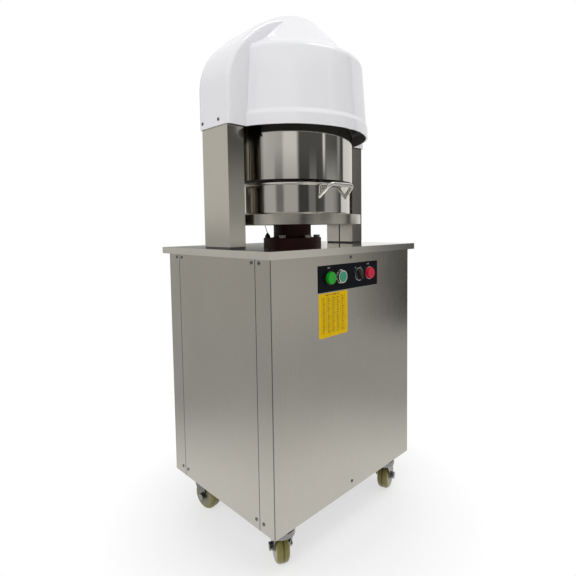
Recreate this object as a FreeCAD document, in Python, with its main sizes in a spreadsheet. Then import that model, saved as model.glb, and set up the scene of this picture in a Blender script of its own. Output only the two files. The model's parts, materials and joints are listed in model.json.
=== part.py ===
import FreeCAD, Part
import math
import os

import Sketcher

# Floor-standing dough divider with 36 knife cells, as a parametric document
# Frame: origin on the floor under the middle of the cabinet, +Z up, the control side faces -Y, +X is on the
# right of a person who faces the controls
# All lengths are millimetres

# Driving dimensions of the cabinet, the frame inside it and its casters
CABINET = {
    "cabinet_width": 500,
    "cabinet_depth": 402,
    "tabletop_height": 703,
    "ground_clearance": 107,
    "sheet": 1.5,
    "top_overhang": 13,
    "top_lip": 16,
    "top_hem": 8,
    "corner_return": 48,
    "panel_seam": 0.6,
    "tube": 30,
    "tube_wall": 2,
    "bearer_width": 60,
    "base_thickness": 4,
    "lift_plate_thickness": 12,
    "lift_plate_half_depth": 90,
    "screw_head_radius": 4,
    "screw_head_height": 1.6,
    "panel_screw_drop": 25,
    "panel_screw_rise": 20,
    "screw_from_seam": 12,
    "louvre_length": 60,
    "louvre_height": 5,
    "louvre_pitch": 16,
    "louvre_rise": 60,
    "louvre_offset": 110,
    "overrun": 5,
}

CASTERS = {
    "caster_inset_x": 56,
    "caster_inset_y": 42,
    "caster_trail": 18,
    "caster_plate_length": 70,
    "caster_plate_width": 60,
    "caster_plate_thickness": 3,
    "raceway_radius": 26,
    "raceway_height": 12,
    "kingpin_radius": 6,
    "kingpin_head_radius": 9,
    "kingpin_head_height": 3,
    "fork_cap_radius": 30,
    "fork_cap_height": 12,
    "fork_wall": 3,
    "fork_toe_radius": 12,
    "fork_shoulder_half_width": 22,
    "wheel_radius": 37.5,
    "wheel_half_width": 15,
    "wheel_crown_half_width": 6,
    "wheel_shoulder_radius": 27,
    "wheel_hub_radius": 14,
    "wheel_hub_half_width": 16,
    "wheel_side_play": 0.5,
    "axle_radius": 5,
    "axle_nut_radius": 9,
    "axle_nut_height": 7,
    "running_gap": 0.05,
    "body_gap": 0.3,
}

# Driving dimensions of the columns, the head and the moulded hood, heights measured from the tabletop
HEAD = {
    "column_gap": 11.9,
    "column_width": 43.6,
    "column_depth": 100,
    "column_foot": 4,
    "foot_inset": 0.5,
    "column_seam": 4,
    "column_cover_height": 300,
    "core_thickness": 24,
    "core_depth": 76,
    "beam_underside": 385,
    "beam_height": 22,
    "head_plate_underside": 280,
    "head_plate_thickness": 10,
    "head_plate_radius": 155.5,
    "head_post_radius": 10,
    "head_post_x": 90,
    "head_post_y": 25,
    "knife_tip": 165,
    "knife_depth": 55,
    "knife": 2,
    "knife_ring_radius": 151.5,
    "knife_hub_radius": 9,
    "cell_clearance": 0.8,
    "block_thickness": 20,
    "stem_radius": 5,
    "press_plate_radius": 148.5,
    "press_plate_thickness": 8,
    "press_guide_radius": 6,
    "press_guide_offset": 62,
    "press_guide_top": 322,
    "press_nut_radius": 11,
    "press_nut_height": 9,
    "ring_radius": 160.7,
    "ring_wall": 4,
    "ring_underside": 159,
    "ring_flange": 6,
    "ring_flange_reach": 7,
    "hood_underside": 269,
    "hood_crown": 597,
    "hood_wall": 4,
    "hood_half_depth": 58.5,
    "hood_edge_radius": 11,
    "hood_inner_edge_radius": 4,
    "hood_shoulder_start": 370,
    "hood_shoulder_radius": 165,
    "drum_lip_radius": 201,
    "drum_lip_height": 30,
    "drum_foot_radius": 197,
    "drum_foot": 34,
    "drum_top_radius": 188,
    "drum_top": 459,
    "drum_shoulder": 35,
    "cone_foot_radius": 123,
    "cone_foot": 519,
    "cone_round": 22,
    "cone_height": 73,
    "hood_screw_rise": 19,
    "hood_screw_spread": 32,
    "hood_screw_shift": 9,
}

# Driving dimensions of the lift, the tray and the dough pan, heights measured from the tabletop
LIFT = {
    "lift_travel": 83,
    "pedestal_radius": 50,
    "pedestal_height": 68,
    "pedestal_flange_radius": 77,
    "pedestal_flange": 20,
    "pedestal_fillet": 5,
    "pedestal_bolt_circle": 132,
    "bolt_radius": 9,
    "bolt_head": 7,
    "bush_radius": 37,
    "bush_floor": 10,
    "ram_radius": 32,
    "ram_bore": 14,
    "ram_length": 250,
    "ram_flange_radius": 46,
    "tray_radius": 182,
    "tray_underside": 54,
    "tray_top": 78,
    "tray_sheet": 2,
    "tray_hem": 8,
    "pan_radius": 154,
    "pan_wall": 1.5,
    "pan_floor": 2,
    "pan_height": 75,
    "pan_corner": 5,
    "pan_bead_drop": 7,
    "pan_bead_radius": 3.6,
    "handle_bar_radius": 5,
    "handle_foot_x": 46,
    "handle_grip_x": 40,
    "handle_foot": 122,
    "handle_grip": 147.5,
    "handle_reach": 175,
    "handle_bend": 12,
    "screw_radius": 12,
    "screw_top": 5,
    "nut_radius": 28,
    "nut_flange_radius": 38,
    "nut_flange": 10,
    "nut_length": 30,
    "tie_rod_radius": 8,
    "tie_rod_x": 76,
    "tie_rod_y": 58,
    "arm_thickness": 12,
    "arm_width": 34,
    "arm_end": 16,
    "bearing_plate_drop": 300,
    "bearing_plate_thickness": 12,
    "bearing_plate_half_width": 88,
    "bearing_plate_front": 74,
    "bearing_plate_gap": 7.5,
    "bearing_radius": 36,
    "bearing_height": 18,
    "motor_setback": 5.25,
    "motor_radius": 56,
    "motor_length": 170,
    "motor_flange": 8,
    "motor_fin_depth": 4,
    "motor_fin": 3,
    "motor_box": 70,
    "motor_box_depth": 26,
    "motor_shaft_radius": 8,
    "motor_opening_radius": 16,
    "pulley_gap": 6,
    "pulley_height": 18,
    "pulley_rim": 2,
    "screw_pulley_radius": 36,
    "motor_pulley_radius": 24,
    "belt_thickness": 3,
    "belt_width": 12,
    "switch_x": 53,
    "switch_y": 40,
    "switch_boot_radius": 7,
    "switch_boot_height": 13,
    "switch_boot_side": 5,
    "switch_barrel_radius": 5,
    "switch_body_width": 24,
    "switch_body_height": 46,
    "whisker_radius": 1,
    "whisker_lean_x": 9,
    "whisker_lean_y": 9,
    "whisker_foot": 2,
    "switch_boot_crown": 2,
}

# Driving dimensions of the controls and the electrical pieces, drops measured down from the tabletop
CONTROLS = {
    "plate_left": 114,
    "plate_right": 103.5,
    "plate_drop": 39,
    "plate_height": 60,
    "plate_thickness": 1.5,
    "control_drop": 67,
    "green_x": 80,
    "lamp_x": 42,
    "selector_x": 25,
    "red_x": 65,
    "barrel_radius": 11,
    "barrel_length": 14,
    "bezel_radius": 16,
    "bezel_height": 4.4,
    "bezel_bore": 14.3,
    "bezel_web": 0.8,
    "stem_radius_control": 7,
    "button_radius": 14,
    "button_travel": 2.4,
    "button_rest": 0.1,
    "button_dome": 1.2,
    "controls_reach": 12.9,
    "lamp_base": 3,
    "lamp_rim_radius": 14.5,
    "lamp_rim": 4,
    "lamp_lens_radius": 12.5,
    "lamp_dome": 1,
    "knob_base": 4.5,
    "knob_grip_width": 8,
    "contact_width": 28,
    "contact_height": 44,
    "contact_depth": 34,
    "box_width": 130,
    "box_depth": 60,
    "box_height": 200,
    "box_drop": 64.5,
    "box_from_post": 8.5,
    "gland_radius": 10,
    "gland_bore": 5,
    "gland_nut_radius": 13,
    "gland_nut_height": 8,
    "gland_inset": 100,
    "gland_rise": 60,
}

# Number of knife cells in the inner, middle and outer circle, which gives every cell the same area
CELL_COUNTS = (6, 12, 18)
# Azimuths of the flange bolts, a sixth of a turn apart, with the limit switch in place of the third
PEDESTAL_BOLT_ANGLES = (24, 84, 204, 264, 324)
HOOD_SLOPE = 45
DRUM_SHELF_SLOPE = 32
LOUVRE_COUNT = 8
MOTOR_FIN_COUNT = 9
# Degrees that the selector turns, from its left mark, where it stands, to its right mark
SELECTOR_THROW = 60
# Azimuth from each caster's stem to its wheel: front left, front right, rear left, rear right
CASTER_ANGLES = (62, 18, 277, 160)
# Shares of a screw head: its crown against its radius, and its skirt against its height
SCREW_CROWN_SHARE = 0.75
SCREW_SKIRT_SHARE = 0.55
# Radius of a fork leg's toe against half the leg's width there
FORK_TOE_SHARE = 1.02

doc = FreeCAD.newDocument("dough_divider")
dims = doc.addObject("Spreadsheet::Sheet", "dims")


class Size:
    """A length that knows its spreadsheet expression and its present value, so plain sums give both."""

    def __init__(self, text, value):
        self.text = text
        self.value = value

    def __add__(self, other):
        other = as_size(other)
        return Size(f"({self.text} + {other.text})", self.value + other.value)

    def __sub__(self, other):
        other = as_size(other)
        return Size(f"({self.text} - {other.text})", self.value - other.value)

    def __mul__(self, other):
        other = as_size(other)
        return Size(f"({self.text} * {other.text})", self.value * other.value)

    def __truediv__(self, other):
        other = as_size(other)
        return Size(f"({self.text} / {other.text})", self.value / other.value)

    def __neg__(self):
        return Size(f"(0 - {self.text})", -self.value)

    __radd__ = __add__
    __rmul__ = __mul__

    def __rsub__(self, other):
        return as_size(other) - self


def as_size(value):
    """Take a Size as it is, and a count, share or zero as a plain number."""
    return value if isinstance(value, Size) else Size(f"{value:.12g}", float(value))


def root(size):
    """Square root of an area, as a Size."""
    return Size(f"sqrt({size.text})", math.sqrt(size.value))


def cosine(degrees):
    return math.cos(math.radians(degrees))


def sine(degrees):
    return math.sin(math.radians(degrees))


def fill_sheet():
    """Write every driving dimension into its own cell with an alias, and return them as Sizes."""
    sizes = {}
    row = 0
    for table in (CABINET, CASTERS, HEAD, LIFT, CONTROLS):
        for name, value in table.items():
            row += 1
            dims.set(f"A{row}", name)
            dims.set(f"B{row}", str(value))
            dims.setAlias(f"B{row}", name)
            sizes[name] = Size(f"dims.{name}", float(value))
    doc.recompute()
    return sizes


class Sizes:
    """The driving dimensions by name."""

    def __init__(self, table):
        self.__dict__.update(table)


s = Sizes(fill_sheet())
subparts = []


def bind(thing, prop, size):
    """Set a property and tie it to the sheet."""
    size = as_size(size)
    if "dims." in size.text:
        thing.setExpression(prop, size.text)


def place(thing, x=0, y=0, z=0):
    """Tie an object's position to the sheet."""
    for axis, size in zip("xyz", (x, y, z)):
        bind(thing, f"Placement.Base.{axis}", size)
    return thing


def subpart(thing, name):
    """Give a finished piece its name and list it for export."""
    thing.Label = name
    subparts.append(thing)
    return thing


def block(x, y, z, name="block"):
    """A box from its low and high faces along each axis."""
    thing = doc.addObject("Part::Box", name)
    for prop, (low, high) in zip(("Length", "Width", "Height"), (x, y, z)):
        bind(thing, prop, as_size(high) - low)
    return place(thing, x[0], y[0], z[0])


UP = FreeCAD.Vector(0, 0, 1)
TURNS = {
    "x": FreeCAD.Rotation(UP, FreeCAD.Vector(1, 0, 0)),
    "y": FreeCAD.Rotation(UP, FreeCAD.Vector(0, 1, 0)),
    "z": FreeCAD.Rotation(),
}


def rod(radius, span, at=(0, 0), axis="z", name="rod"):
    """A cylinder along an axis, between two places on it, at a point of the plane across it."""
    thing = doc.addObject("Part::Cylinder", name)
    bind(thing, "Radius", radius)
    bind(thing, "Height", as_size(span[1]) - span[0])
    thing.Placement = FreeCAD.Placement(FreeCAD.Vector(), TURNS[axis])
    spots = {"x": (span[0], *at), "y": (at[0], span[0], at[1]), "z": (*at, span[0])}
    return place(thing, *spots[axis])


def prism(radius, span, at=(0, 0), axis="z", sides=6, name="prism"):
    """A regular prism, such as a hexagon head, along an axis."""
    thing = doc.addObject("Part::Prism", name)
    thing.Polygon = sides
    bind(thing, "Circumradius", radius)
    bind(thing, "Height", as_size(span[1]) - span[0])
    thing.Placement = FreeCAD.Placement(FreeCAD.Vector(), TURNS[axis])
    spots = {"x": (span[0], *at), "y": (at[0], span[0], at[1]), "z": (*at, span[0])}
    return place(thing, *spots[axis])


def joined(*things, name="joined"):
    """Fuse pieces into one solid."""
    thing = doc.addObject("Part::MultiFuse", name)
    thing.Shapes = list(things)
    return thing


def grouped(*things, name="group"):
    """Keep pieces as separate solids in one object."""
    thing = doc.addObject("Part::Compound", name)
    thing.Links = list(things)
    return thing


def cut(base, *tools, name="cut"):
    """Take tools away from a base."""
    thing = doc.addObject("Part::Cut", name)
    thing.Base = base
    thing.Tool = tools[0] if len(tools) == 1 else joined(*tools, name=f"{name}_tools")
    return thing


class Arc:
    """A round stretch of an outline: its radius, and whether it runs counter-clockwise."""

    def __init__(self, radius, left=True, long_way=False):
        self.radius = as_size(radius)
        self.left = left
        self.long_way = long_way


def arc_centre(start, end, arc):
    """Centre of an arc between two points of the sketch plane."""
    chord = end - start
    half = chord.Length / 2
    rise = math.sqrt(max(arc.radius.value**2 - half**2, 0))
    across = FreeCAD.Vector(-chord.y, chord.x, 0).normalize()
    side = 1 if arc.left != arc.long_way else -1
    return (start + end) / 2 + across * (side * rise)


def outline(sketch, steps):
    """Draw a closed outline of points, with arcs between some of them, and tie each point to the sheet."""
    points = []
    arcs = {}
    for step in steps:
        if isinstance(step, Arc):
            arcs[len(points) - 1] = step
        else:
            points.append((as_size(step[0]), as_size(step[1])))
    spots = [FreeCAD.Vector(u.value, v.value, 0) for u, v in points]
    ends = []
    for i, start in enumerate(spots):
        end = spots[(i + 1) % len(spots)]
        if i not in arcs:
            ends.append((sketch.addGeometry(Part.LineSegment(start, end)), 1, 2))
            continue
        arc = arcs[i]
        centre = arc_centre(start, end, arc)
        first, last = (start, end) if arc.left else (end, start)
        a = math.atan2(first.y - centre.y, first.x - centre.x)
        b = math.atan2(last.y - centre.y, last.x - centre.x)
        circle = Part.Circle(centre, FreeCAD.Vector(0, 0, 1), arc.radius.value)
        geometry = sketch.addGeometry(Part.ArcOfCircle(circle, a, b if b > a else b + 2 * math.pi))
        ends.append((geometry, 1, 2) if arc.left else (geometry, 2, 1))
    for i, (geometry, start, end) in enumerate(ends):
        after, after_start, _ = ends[(i + 1) % len(ends)]
        sketch.addConstraint(Sketcher.Constraint("Coincident", geometry, end, after, after_start))
    for i, (u, v) in enumerate(points):
        geometry, start, _ = ends[i]
        for size, kind, axis, label in ((u, "DistanceX", -2, "u"), (v, "DistanceY", -1, "v")):
            if size.value == 0:
                sketch.addConstraint(Sketcher.Constraint("PointOnObject", geometry, start, axis))
                continue
            number = sketch.addConstraint(Sketcher.Constraint(kind, -1, 1, geometry, start, size.value))
            sketch.renameConstraint(number, f"{label}{i}")
            bind(sketch, f"Constraints.{label}{i}", size)
        if i in arcs:
            number = sketch.addConstraint(Sketcher.Constraint("Radius", geometry, arcs[i].radius.value))
            sketch.renameConstraint(number, f"radius{i}")
            bind(sketch, f"Constraints.radius{i}", arcs[i].radius)


def new_body(name):
    return doc.addObject("PartDesign::Body", name)


def sketch_on(body, plane, steps, name, height=0):
    """A sketch on one of the body's own origin planes, set off along the plane's normal."""
    sketch = body.newObject("Sketcher::SketchObject", name)
    face = next(f for f in body.Origin.OriginFeatures if f.Role == plane)
    sketch.AttachmentSupport = [(face, "")]
    sketch.MapMode = "FlatFace"
    bind(sketch, "AttachmentOffset.Base.z", height)
    outline(sketch, steps)
    return sketch


def padded(body, sketch, length, name, symmetric=False, back=False):
    pad = body.newObject("PartDesign::Pad", name)
    pad.Profile = (sketch, [""])
    bind(pad, "Length", length)
    if symmetric:
        pad.SideType = "Symmetric"
    pad.Reversed = back
    body.Tip = pad
    return pad


def turned(steps, name):
    """A body of revolution about Z from an outline of (radius, height) steps."""
    body = new_body(name)
    sketch = sketch_on(body, "XZ_Plane", steps, f"{name}_profile")
    turn = body.newObject("PartDesign::Revolution", f"{name}_turn")
    turn.Profile = (sketch, [""])
    turn.ReferenceAxis = (sketch, ["V_Axis"])
    turn.Angle = 360
    body.Tip = turn
    return body


def repeated(body, feature, count, name):
    """Repeat a feature around Z."""
    pattern = body.newObject("PartDesign::PolarPattern", name)
    pattern.Originals = [feature]
    pattern.Axis = (next(f for f in body.Origin.OriginFeatures if f.Role == "Z_Axis"), [""])
    pattern.Angle = 360
    pattern.Occurrences = count
    body.Tip = pattern
    return pattern


# Places that several pieces share
top = s.tabletop_height
half_width = s.cabinet_width / 2
half_depth = s.cabinet_depth / 2
inner_x = half_width - s.sheet
inner_y = half_depth - s.sheet
base_top = s.ground_clearance + s.base_thickness
frame_top = top - s.sheet
return_edge = half_depth - s.corner_return
control_z = top - s.control_drop
plate_face = half_depth + s.plate_thickness
tray_floor = top + s.tray_top
hood_floor = top + s.hood_underside
gland_spot = (half_width - s.gland_inset, s.ground_clearance + s.tube + s.gland_rise)
caster_x = half_width - s.caster_inset_x
caster_y = half_depth - s.caster_inset_y
# The columns stand beside the tray, and the hood's legs close over them
column_x = s.tray_radius + s.column_gap + s.column_width / 2
hood_side = column_x + s.column_width / 2 + s.hood_wall
# The motor stands between the lift nut and the rear panel
motor_y = (s.nut_flange_radius + inner_y) / 2 + s.motor_setback


def switch_bore():
    """Hole for the limit switch's barrel, through the pedestal, the tabletop and the lift plate."""
    radius = s.switch_barrel_radius + s.running_gap
    return rod(radius, (top / 2, top + s.pedestal_height), (-s.switch_x, s.switch_y))


def along_y(radius, low, high, x):
    """A cylinder of a control, between two places on Y, at the controls' height."""
    return rod(radius, (low, high), (x, control_z), "y")


def tube_along(axis, x, y, z):
    """Square tube: a box with its bore open at both ends."""
    spans = {"x": x, "y": y, "z": z}
    bore = {
        k: (low - s.overrun, high + s.overrun) if k == axis else (low + s.tube_wall, high - s.tube_wall)
        for k, (low, high) in spans.items()
    }
    return cut(block(x, y, z), block(bore["x"], bore["y"], bore["z"]), name="tube")


def make_frame():
    """Square-tube frame: four posts, four floor rails, two top rails and two bearers under the columns."""
    post_x = inner_x - s.tube
    post_y = inner_y - s.tube
    posts = [
        tube_along("z", x, y, (base_top, frame_top))
        for x in ((-inner_x, -post_x), (post_x, inner_x))
        for y in ((-inner_y, -post_y), (post_y, inner_y))
    ]
    subpart(grouped(*posts), "frame_posts")
    rails = []
    for y in ((-inner_y, -post_y), (post_y, inner_y)):
        for z in ((base_top, base_top + s.tube), (frame_top - s.tube, frame_top)):
            rails.append(tube_along("x", (-post_x, post_x), y, z))
    for x in ((-inner_x, -post_x), (post_x, inner_x)):
        rails.append(tube_along("y", x, (-post_y, post_y), (base_top, base_top + s.tube)))
    bearer_edge = inner_x - s.bearer_width
    for x in ((-inner_x, -bearer_edge), (bearer_edge, inner_x)):
        rails.append(tube_along("y", x, (-post_y, post_y), (frame_top - s.tube, frame_top)))
    subpart(grouped(*rails), "frame_rails")
    plate = block(
        (-bearer_edge, bearer_edge),
        (-s.lift_plate_half_depth, s.lift_plate_half_depth),
        (frame_top - s.lift_plate_thickness, frame_top),
    )
    subpart(cut(plate, rod(s.ram_radius + s.overrun, (0, top)), switch_bore()), "lift_plate")
    base = block((-inner_x, inner_x), (-inner_y, inner_y), (s.ground_clearance, base_top))
    subpart(base, "base_plate")


def make_top_cover():
    """Folded tabletop: a sheet with a lip all round and a hem turned in under the lip."""
    x = half_width + s.top_overhang
    y = half_depth + s.top_overhang
    lip = top - s.top_lip
    shell = block((-x, x), (-y, y), (lip, top))
    inside = block(
        (s.sheet - x, x - s.sheet), (s.sheet - y, y - s.sheet), (lip + s.sheet, frame_top)
    )
    mouth = block(
        (s.top_hem - x, x - s.top_hem),
        (s.top_hem - y, y - s.top_hem),
        (lip - s.overrun, lip + s.top_lip / 2),
    )
    holes = [rod(s.ram_radius + s.overrun, (0, top + s.overrun))]
    holes.append(switch_bore())
    subpart(cut(shell, inside, mouth, *holes), "top_cover")


def control_spots():
    return {"green": -s.green_x, "lamp": -s.lamp_x, "selector": s.selector_x, "red": s.red_x}


def make_panels():
    """Front and rear panels wrap round the corners, and the side panels lie between them."""
    z = (s.ground_clearance, frame_top)
    through = (z[0] - s.overrun, top)
    shell = block((-half_width, half_width), (-half_depth, -return_edge), z)
    hollow = block((-inner_x, inner_x), (-inner_y, s.overrun - return_edge), through)
    bore = s.barrel_radius + s.running_gap
    holes = [
        along_y(bore, -half_depth - s.overrun, s.overrun - inner_y, x) for x in control_spots().values()
    ]
    subpart(cut(shell, hollow, *holes), "front_panel")
    shell = block((-half_width, half_width), (return_edge, half_depth), z)
    hollow = block((-inner_x, inner_x), (return_edge - s.overrun, inner_y), through)
    wall = (inner_y - s.overrun, half_depth + s.overrun)
    slots = []
    for side in (-1, 1):
        for row in range(LOUVRE_COUNT):
            low = s.ground_clearance + s.louvre_rise + row * s.louvre_pitch
            middle = side * s.louvre_offset
            across = (middle - s.louvre_length / 2, middle + s.louvre_length / 2)
            slots.append(block(across, wall, (low, low + s.louvre_height)))
    gland = rod(s.gland_radius + s.running_gap, wall, gland_spot, "y")
    subpart(cut(shell, hollow, gland, *slots), "rear_panel")
    edge = return_edge - s.panel_seam
    subpart(block((-half_width, -inner_x), (-edge, edge), z), "left_side_panel")
    subpart(block((inner_x, half_width), (-edge, edge), z), "right_side_panel")


def screw_head(x, y, z, axis, outward):
    """Low panel-screw head standing on a face: a disc under a smaller raised disc."""
    start = {"x": x, "y": y}[axis]
    at = (y, z) if axis == "x" else (x, z)
    skirt = s.screw_head_height * SCREW_SKIRT_SHARE
    crown = s.screw_head_radius * SCREW_CROWN_SHARE
    heads = []
    for radius, low, high in ((s.screw_head_radius, 0, skirt), (crown, skirt, s.screw_head_height)):
        span = (start + low, start + high) if outward > 0 else (start - high, start - low)
        heads.append(rod(radius, span, at, axis))
    return joined(*heads, name="screw_head")


def make_screws():
    """Panel screws into the rails: eight on each side, two at the front and two at the rear."""
    rows = (top - s.panel_screw_drop, s.ground_clearance + s.panel_screw_rise)
    heads = []
    for z in rows:
        for side in (-1, 1):
            for end in (-1, 1):
                for shift in (-1, 1):
                    y = end * (return_edge + shift * s.screw_from_seam)
                    heads.append(screw_head(side * half_width, y, z, "x", side))
            heads.append(screw_head(as_size(0), side * half_depth, z, "y", side))
    subpart(grouped(*heads), "panel_screws")
    heads = []
    for side in (-1, 1):
        for end in (-1, 1):
            y = s.hood_screw_shift + end * s.hood_screw_spread
            z = hood_floor + s.hood_screw_rise
            heads.append(screw_head(side * hood_side, y, z, "x", side))
    subpart(grouped(*heads), "hood_screws")


def make_columns():
    """Flat-bar cores on foot plates, each in a folded steel cover with its open seam on the inner side."""
    foot_top = top + s.column_foot
    half_core = s.core_thickness / 2
    cores = []
    for side in (-1, 1):
        x = side * column_x
        half = s.column_width / 2 - s.foot_inset
        deep = s.column_depth / 2 - s.foot_inset
        foot = block((x - half, x + half), (-deep, deep), (top, foot_top))
        bar = block(
            (x - half_core, x + half_core),
            (-s.core_depth / 2, s.core_depth / 2),
            (top, top + s.beam_underside),
        )
        cores.append(joined(foot, bar, name="core"))
    subpart(grouped(*cores), "column_cores")
    for side, name in ((-1, "left_column_cover"), (1, "right_column_cover")):
        x = side * column_x
        half = s.column_width / 2
        deep = s.column_depth / 2
        z = (foot_top, top + s.column_cover_height)
        shell = block((x - half, x + half), (-deep, deep), z)
        bore = block(
            (x - half + s.sheet, x + half - s.sheet),
            (s.sheet - deep, deep - s.sheet),
            (z[0] - s.overrun, z[1] + s.overrun),
        )
        inner_face = x - side * half
        seam = block(
            (inner_face - s.overrun, inner_face + s.overrun),
            (-s.column_seam / 2, s.column_seam / 2),
            (z[0] - s.overrun, z[1] + s.overrun),
        )
        subpart(cut(shell, bore, seam), name)


def make_head():
    """Crossbeam on the cores, posts under it, and the head plate that carries the knives."""
    beam_low = top + s.beam_underside
    beam_x = column_x + s.core_thickness / 2
    half_core = s.core_depth / 2
    beam = block((-beam_x, beam_x), (-half_core, half_core), (beam_low, beam_low + s.beam_height))
    subpart(beam, "crossbeam")
    plate_low = top + s.head_plate_underside
    plate_high = plate_low + s.head_plate_thickness
    posts = [
        rod(s.head_post_radius, (plate_high, beam_low), (x * s.head_post_x, y * s.head_post_y))
        for x in (-1, 1)
        for y in (-1, 1)
    ]
    subpart(grouped(*posts), "head_posts")
    guide = s.press_guide_offset
    bore = s.press_guide_radius + s.running_gap
    through = (plate_low - s.overrun, plate_high + s.overrun)
    holes = [rod(bore, through, (x * guide, y * guide)) for x in (-1, 1) for y in (-1, 1)]
    subpart(cut(rod(s.head_plate_radius, (plate_low, plate_high)), *holes), "head_plate")


def cell_radii():
    """Middle radius of each circular knife, from the hub outwards, so that all cells have the same area."""
    total = sum(CELL_COUNTS)
    outer = s.knife_ring_radius - s.knife / 2
    radii = [s.knife_hub_radius]
    for i in range(len(CELL_COUNTS)):
        share = math.sqrt(sum(CELL_COUNTS[: i + 1]) / total)
        radii.append(outer * share)
    return radii


def make_knives():
    """Knife grid: circular knives joined by radial knives, hung from the head plate by the outer ring."""
    tip = top + s.knife_tip
    back = tip + s.knife_depth
    half = s.knife / 2
    radii = cell_radii()
    plate_low = top + s.head_plate_underside
    body = turned(
        [
            (radii[-1] - half, tip),
            (s.knife_ring_radius, tip),
            (s.knife_ring_radius, plate_low),
            (radii[-1] - half, plate_low),
        ],
        "knife_grid",
    )
    for i, radius in enumerate(radii[1:-1]):
        sketch = sketch_on(
            body,
            "XZ_Plane",
            [(radius - half, tip), (radius + half, tip), (radius + half, back), (radius - half, back)],
            f"circular_knife_{i}",
        )
        ring = body.newObject("PartDesign::Revolution", f"circular_knife_{i}_turn")
        ring.Profile = (sketch, [""])
        ring.ReferenceAxis = (sketch, ["V_Axis"])
        ring.Angle = 360
        body.Tip = ring
    hub = sketch_on(
        body,
        "XZ_Plane",
        [(0, tip), (s.knife_hub_radius, tip), (s.knife_hub_radius, back), (0, back)],
        "knife_hub",
    )
    core = body.newObject("PartDesign::Revolution", "knife_hub_turn")
    core.Profile = (hub, [""])
    core.ReferenceAxis = (hub, ["V_Axis"])
    core.Angle = 360
    body.Tip = core
    for i, count in enumerate(CELL_COUNTS):
        start = radii[i] - (half if i == 0 else 0)
        sketch = sketch_on(
            body,
            "XY_Plane",
            [(start, -half), (radii[i + 1], -half), (radii[i + 1], half), (start, half)],
            f"radial_knife_{i}",
            tip,
        )
        blade = padded(body, sketch, s.knife_depth, f"radial_knife_{i}_pad")
        repeated(body, blade, count, f"radial_knives_{i}")
    subpart(body, "knife_grid")


def cell_steps(inner, outer, count):
    """Outline of one press block: the cell between two circles and two radial knives, less its clearance."""
    gap = s.knife / 2 + s.cell_clearance
    across, up = cosine(360 / count), sine(360 / count)
    low = inner + gap
    high = outer - gap
    reach_low = root(low * low - gap * gap)
    reach_high = root(high * high - gap * gap)
    return [
        (reach_low, gap),
        (reach_high, gap),
        Arc(high),
        (reach_high * across + gap * up, reach_high * up - gap * across),
        (reach_low * across + gap * up, reach_low * up - gap * across),
        Arc(low, left=False),
    ]


def make_press():
    """Press plate over the knives, hung on four guide rods, with one block on a stem in each cell."""
    low = top + s.knife_tip + s.knife_depth + s.body_gap
    high = low + s.press_plate_thickness
    plate_top = top + s.head_plate_underside + s.head_plate_thickness
    pieces = [rod(s.press_plate_radius, (low, high))]
    for x in (-1, 1):
        for y in (-1, 1):
            at = (x * s.press_guide_offset, y * s.press_guide_offset)
            pieces.append(rod(s.press_guide_radius, (low, top + s.press_guide_top), at))
            nut = (plate_top + s.body_gap, plate_top + s.body_gap + s.press_nut_height)
            pieces.append(prism(s.press_nut_radius, nut, at))
    subpart(joined(*pieces), "press_plate")
    tip = top + s.knife_tip + s.body_gap * 2
    radii = cell_radii()
    groups = []
    for i, count in enumerate(CELL_COUNTS):
        body = new_body(f"press_cells_{i}")
        sketch = sketch_on(body, "XY_Plane", cell_steps(radii[i], radii[i + 1], count), f"cell_{i}", tip)
        pad = padded(body, sketch, s.block_thickness, f"cell_{i}_pad")
        repeated(body, pad, count, f"cells_{i}")
        groups.append(body)
        middle = (radii[i] + radii[i + 1]) / 2
        for n in range(count):
            turn = 360 * (n + 0.5) / count
            at = (middle * cosine(turn), middle * sine(turn))
            groups.append(rod(s.stem_radius, (tip + s.block_thickness, low), at))
    subpart(joined(*groups), "press_blocks")


def make_press_ring():
    """Polished head ring: floats on the head plate's edge by an inward flange."""
    low = top + s.ring_underside
    flange_low = top + s.head_plate_underside + s.head_plate_thickness + s.body_gap
    flange_high = flange_low + s.ring_flange
    inner = s.ring_radius - s.ring_wall
    ring = turned(
        [
            (inner, low),
            (s.ring_radius, low),
            (s.ring_radius, flange_high),
            (inner - s.ring_flange_reach, flange_high),
            (inner - s.ring_flange_reach, flange_low),
            (inner, flange_low),
        ],
        "press_ring",
    )
    subpart(ring, "press_ring")


def arch_steps(inset, floor):
    """Front outline of the hood's arch: upright legs, round shoulders, a slope and a round crown."""
    across, up = cosine(HOOD_SLOPE), sine(HOOD_SLOPE)
    start = top + s.hood_shoulder_start
    shoulder = s.hood_shoulder_radius - inset
    side = hood_side - inset
    crown = top + s.hood_crown - inset
    centre = side - shoulder
    slope = centre * across + start * up + shoulder
    crown_radius = (slope - crown * up) / (1 - up)
    shoulder_end = (centre + shoulder * across, start + shoulder * up)
    crown_end = (crown_radius * across, crown - crown_radius * (1 - up))
    return [
        (-side, floor),
        (side, floor),
        (side, start),
        Arc(shoulder),
        shoulder_end,
        crown_end,
        Arc(crown_radius),
        (-crown_end[0], crown_end[1]),
        (-shoulder_end[0], shoulder_end[1]),
        Arc(shoulder),
        (-side, start),
    ]


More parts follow.
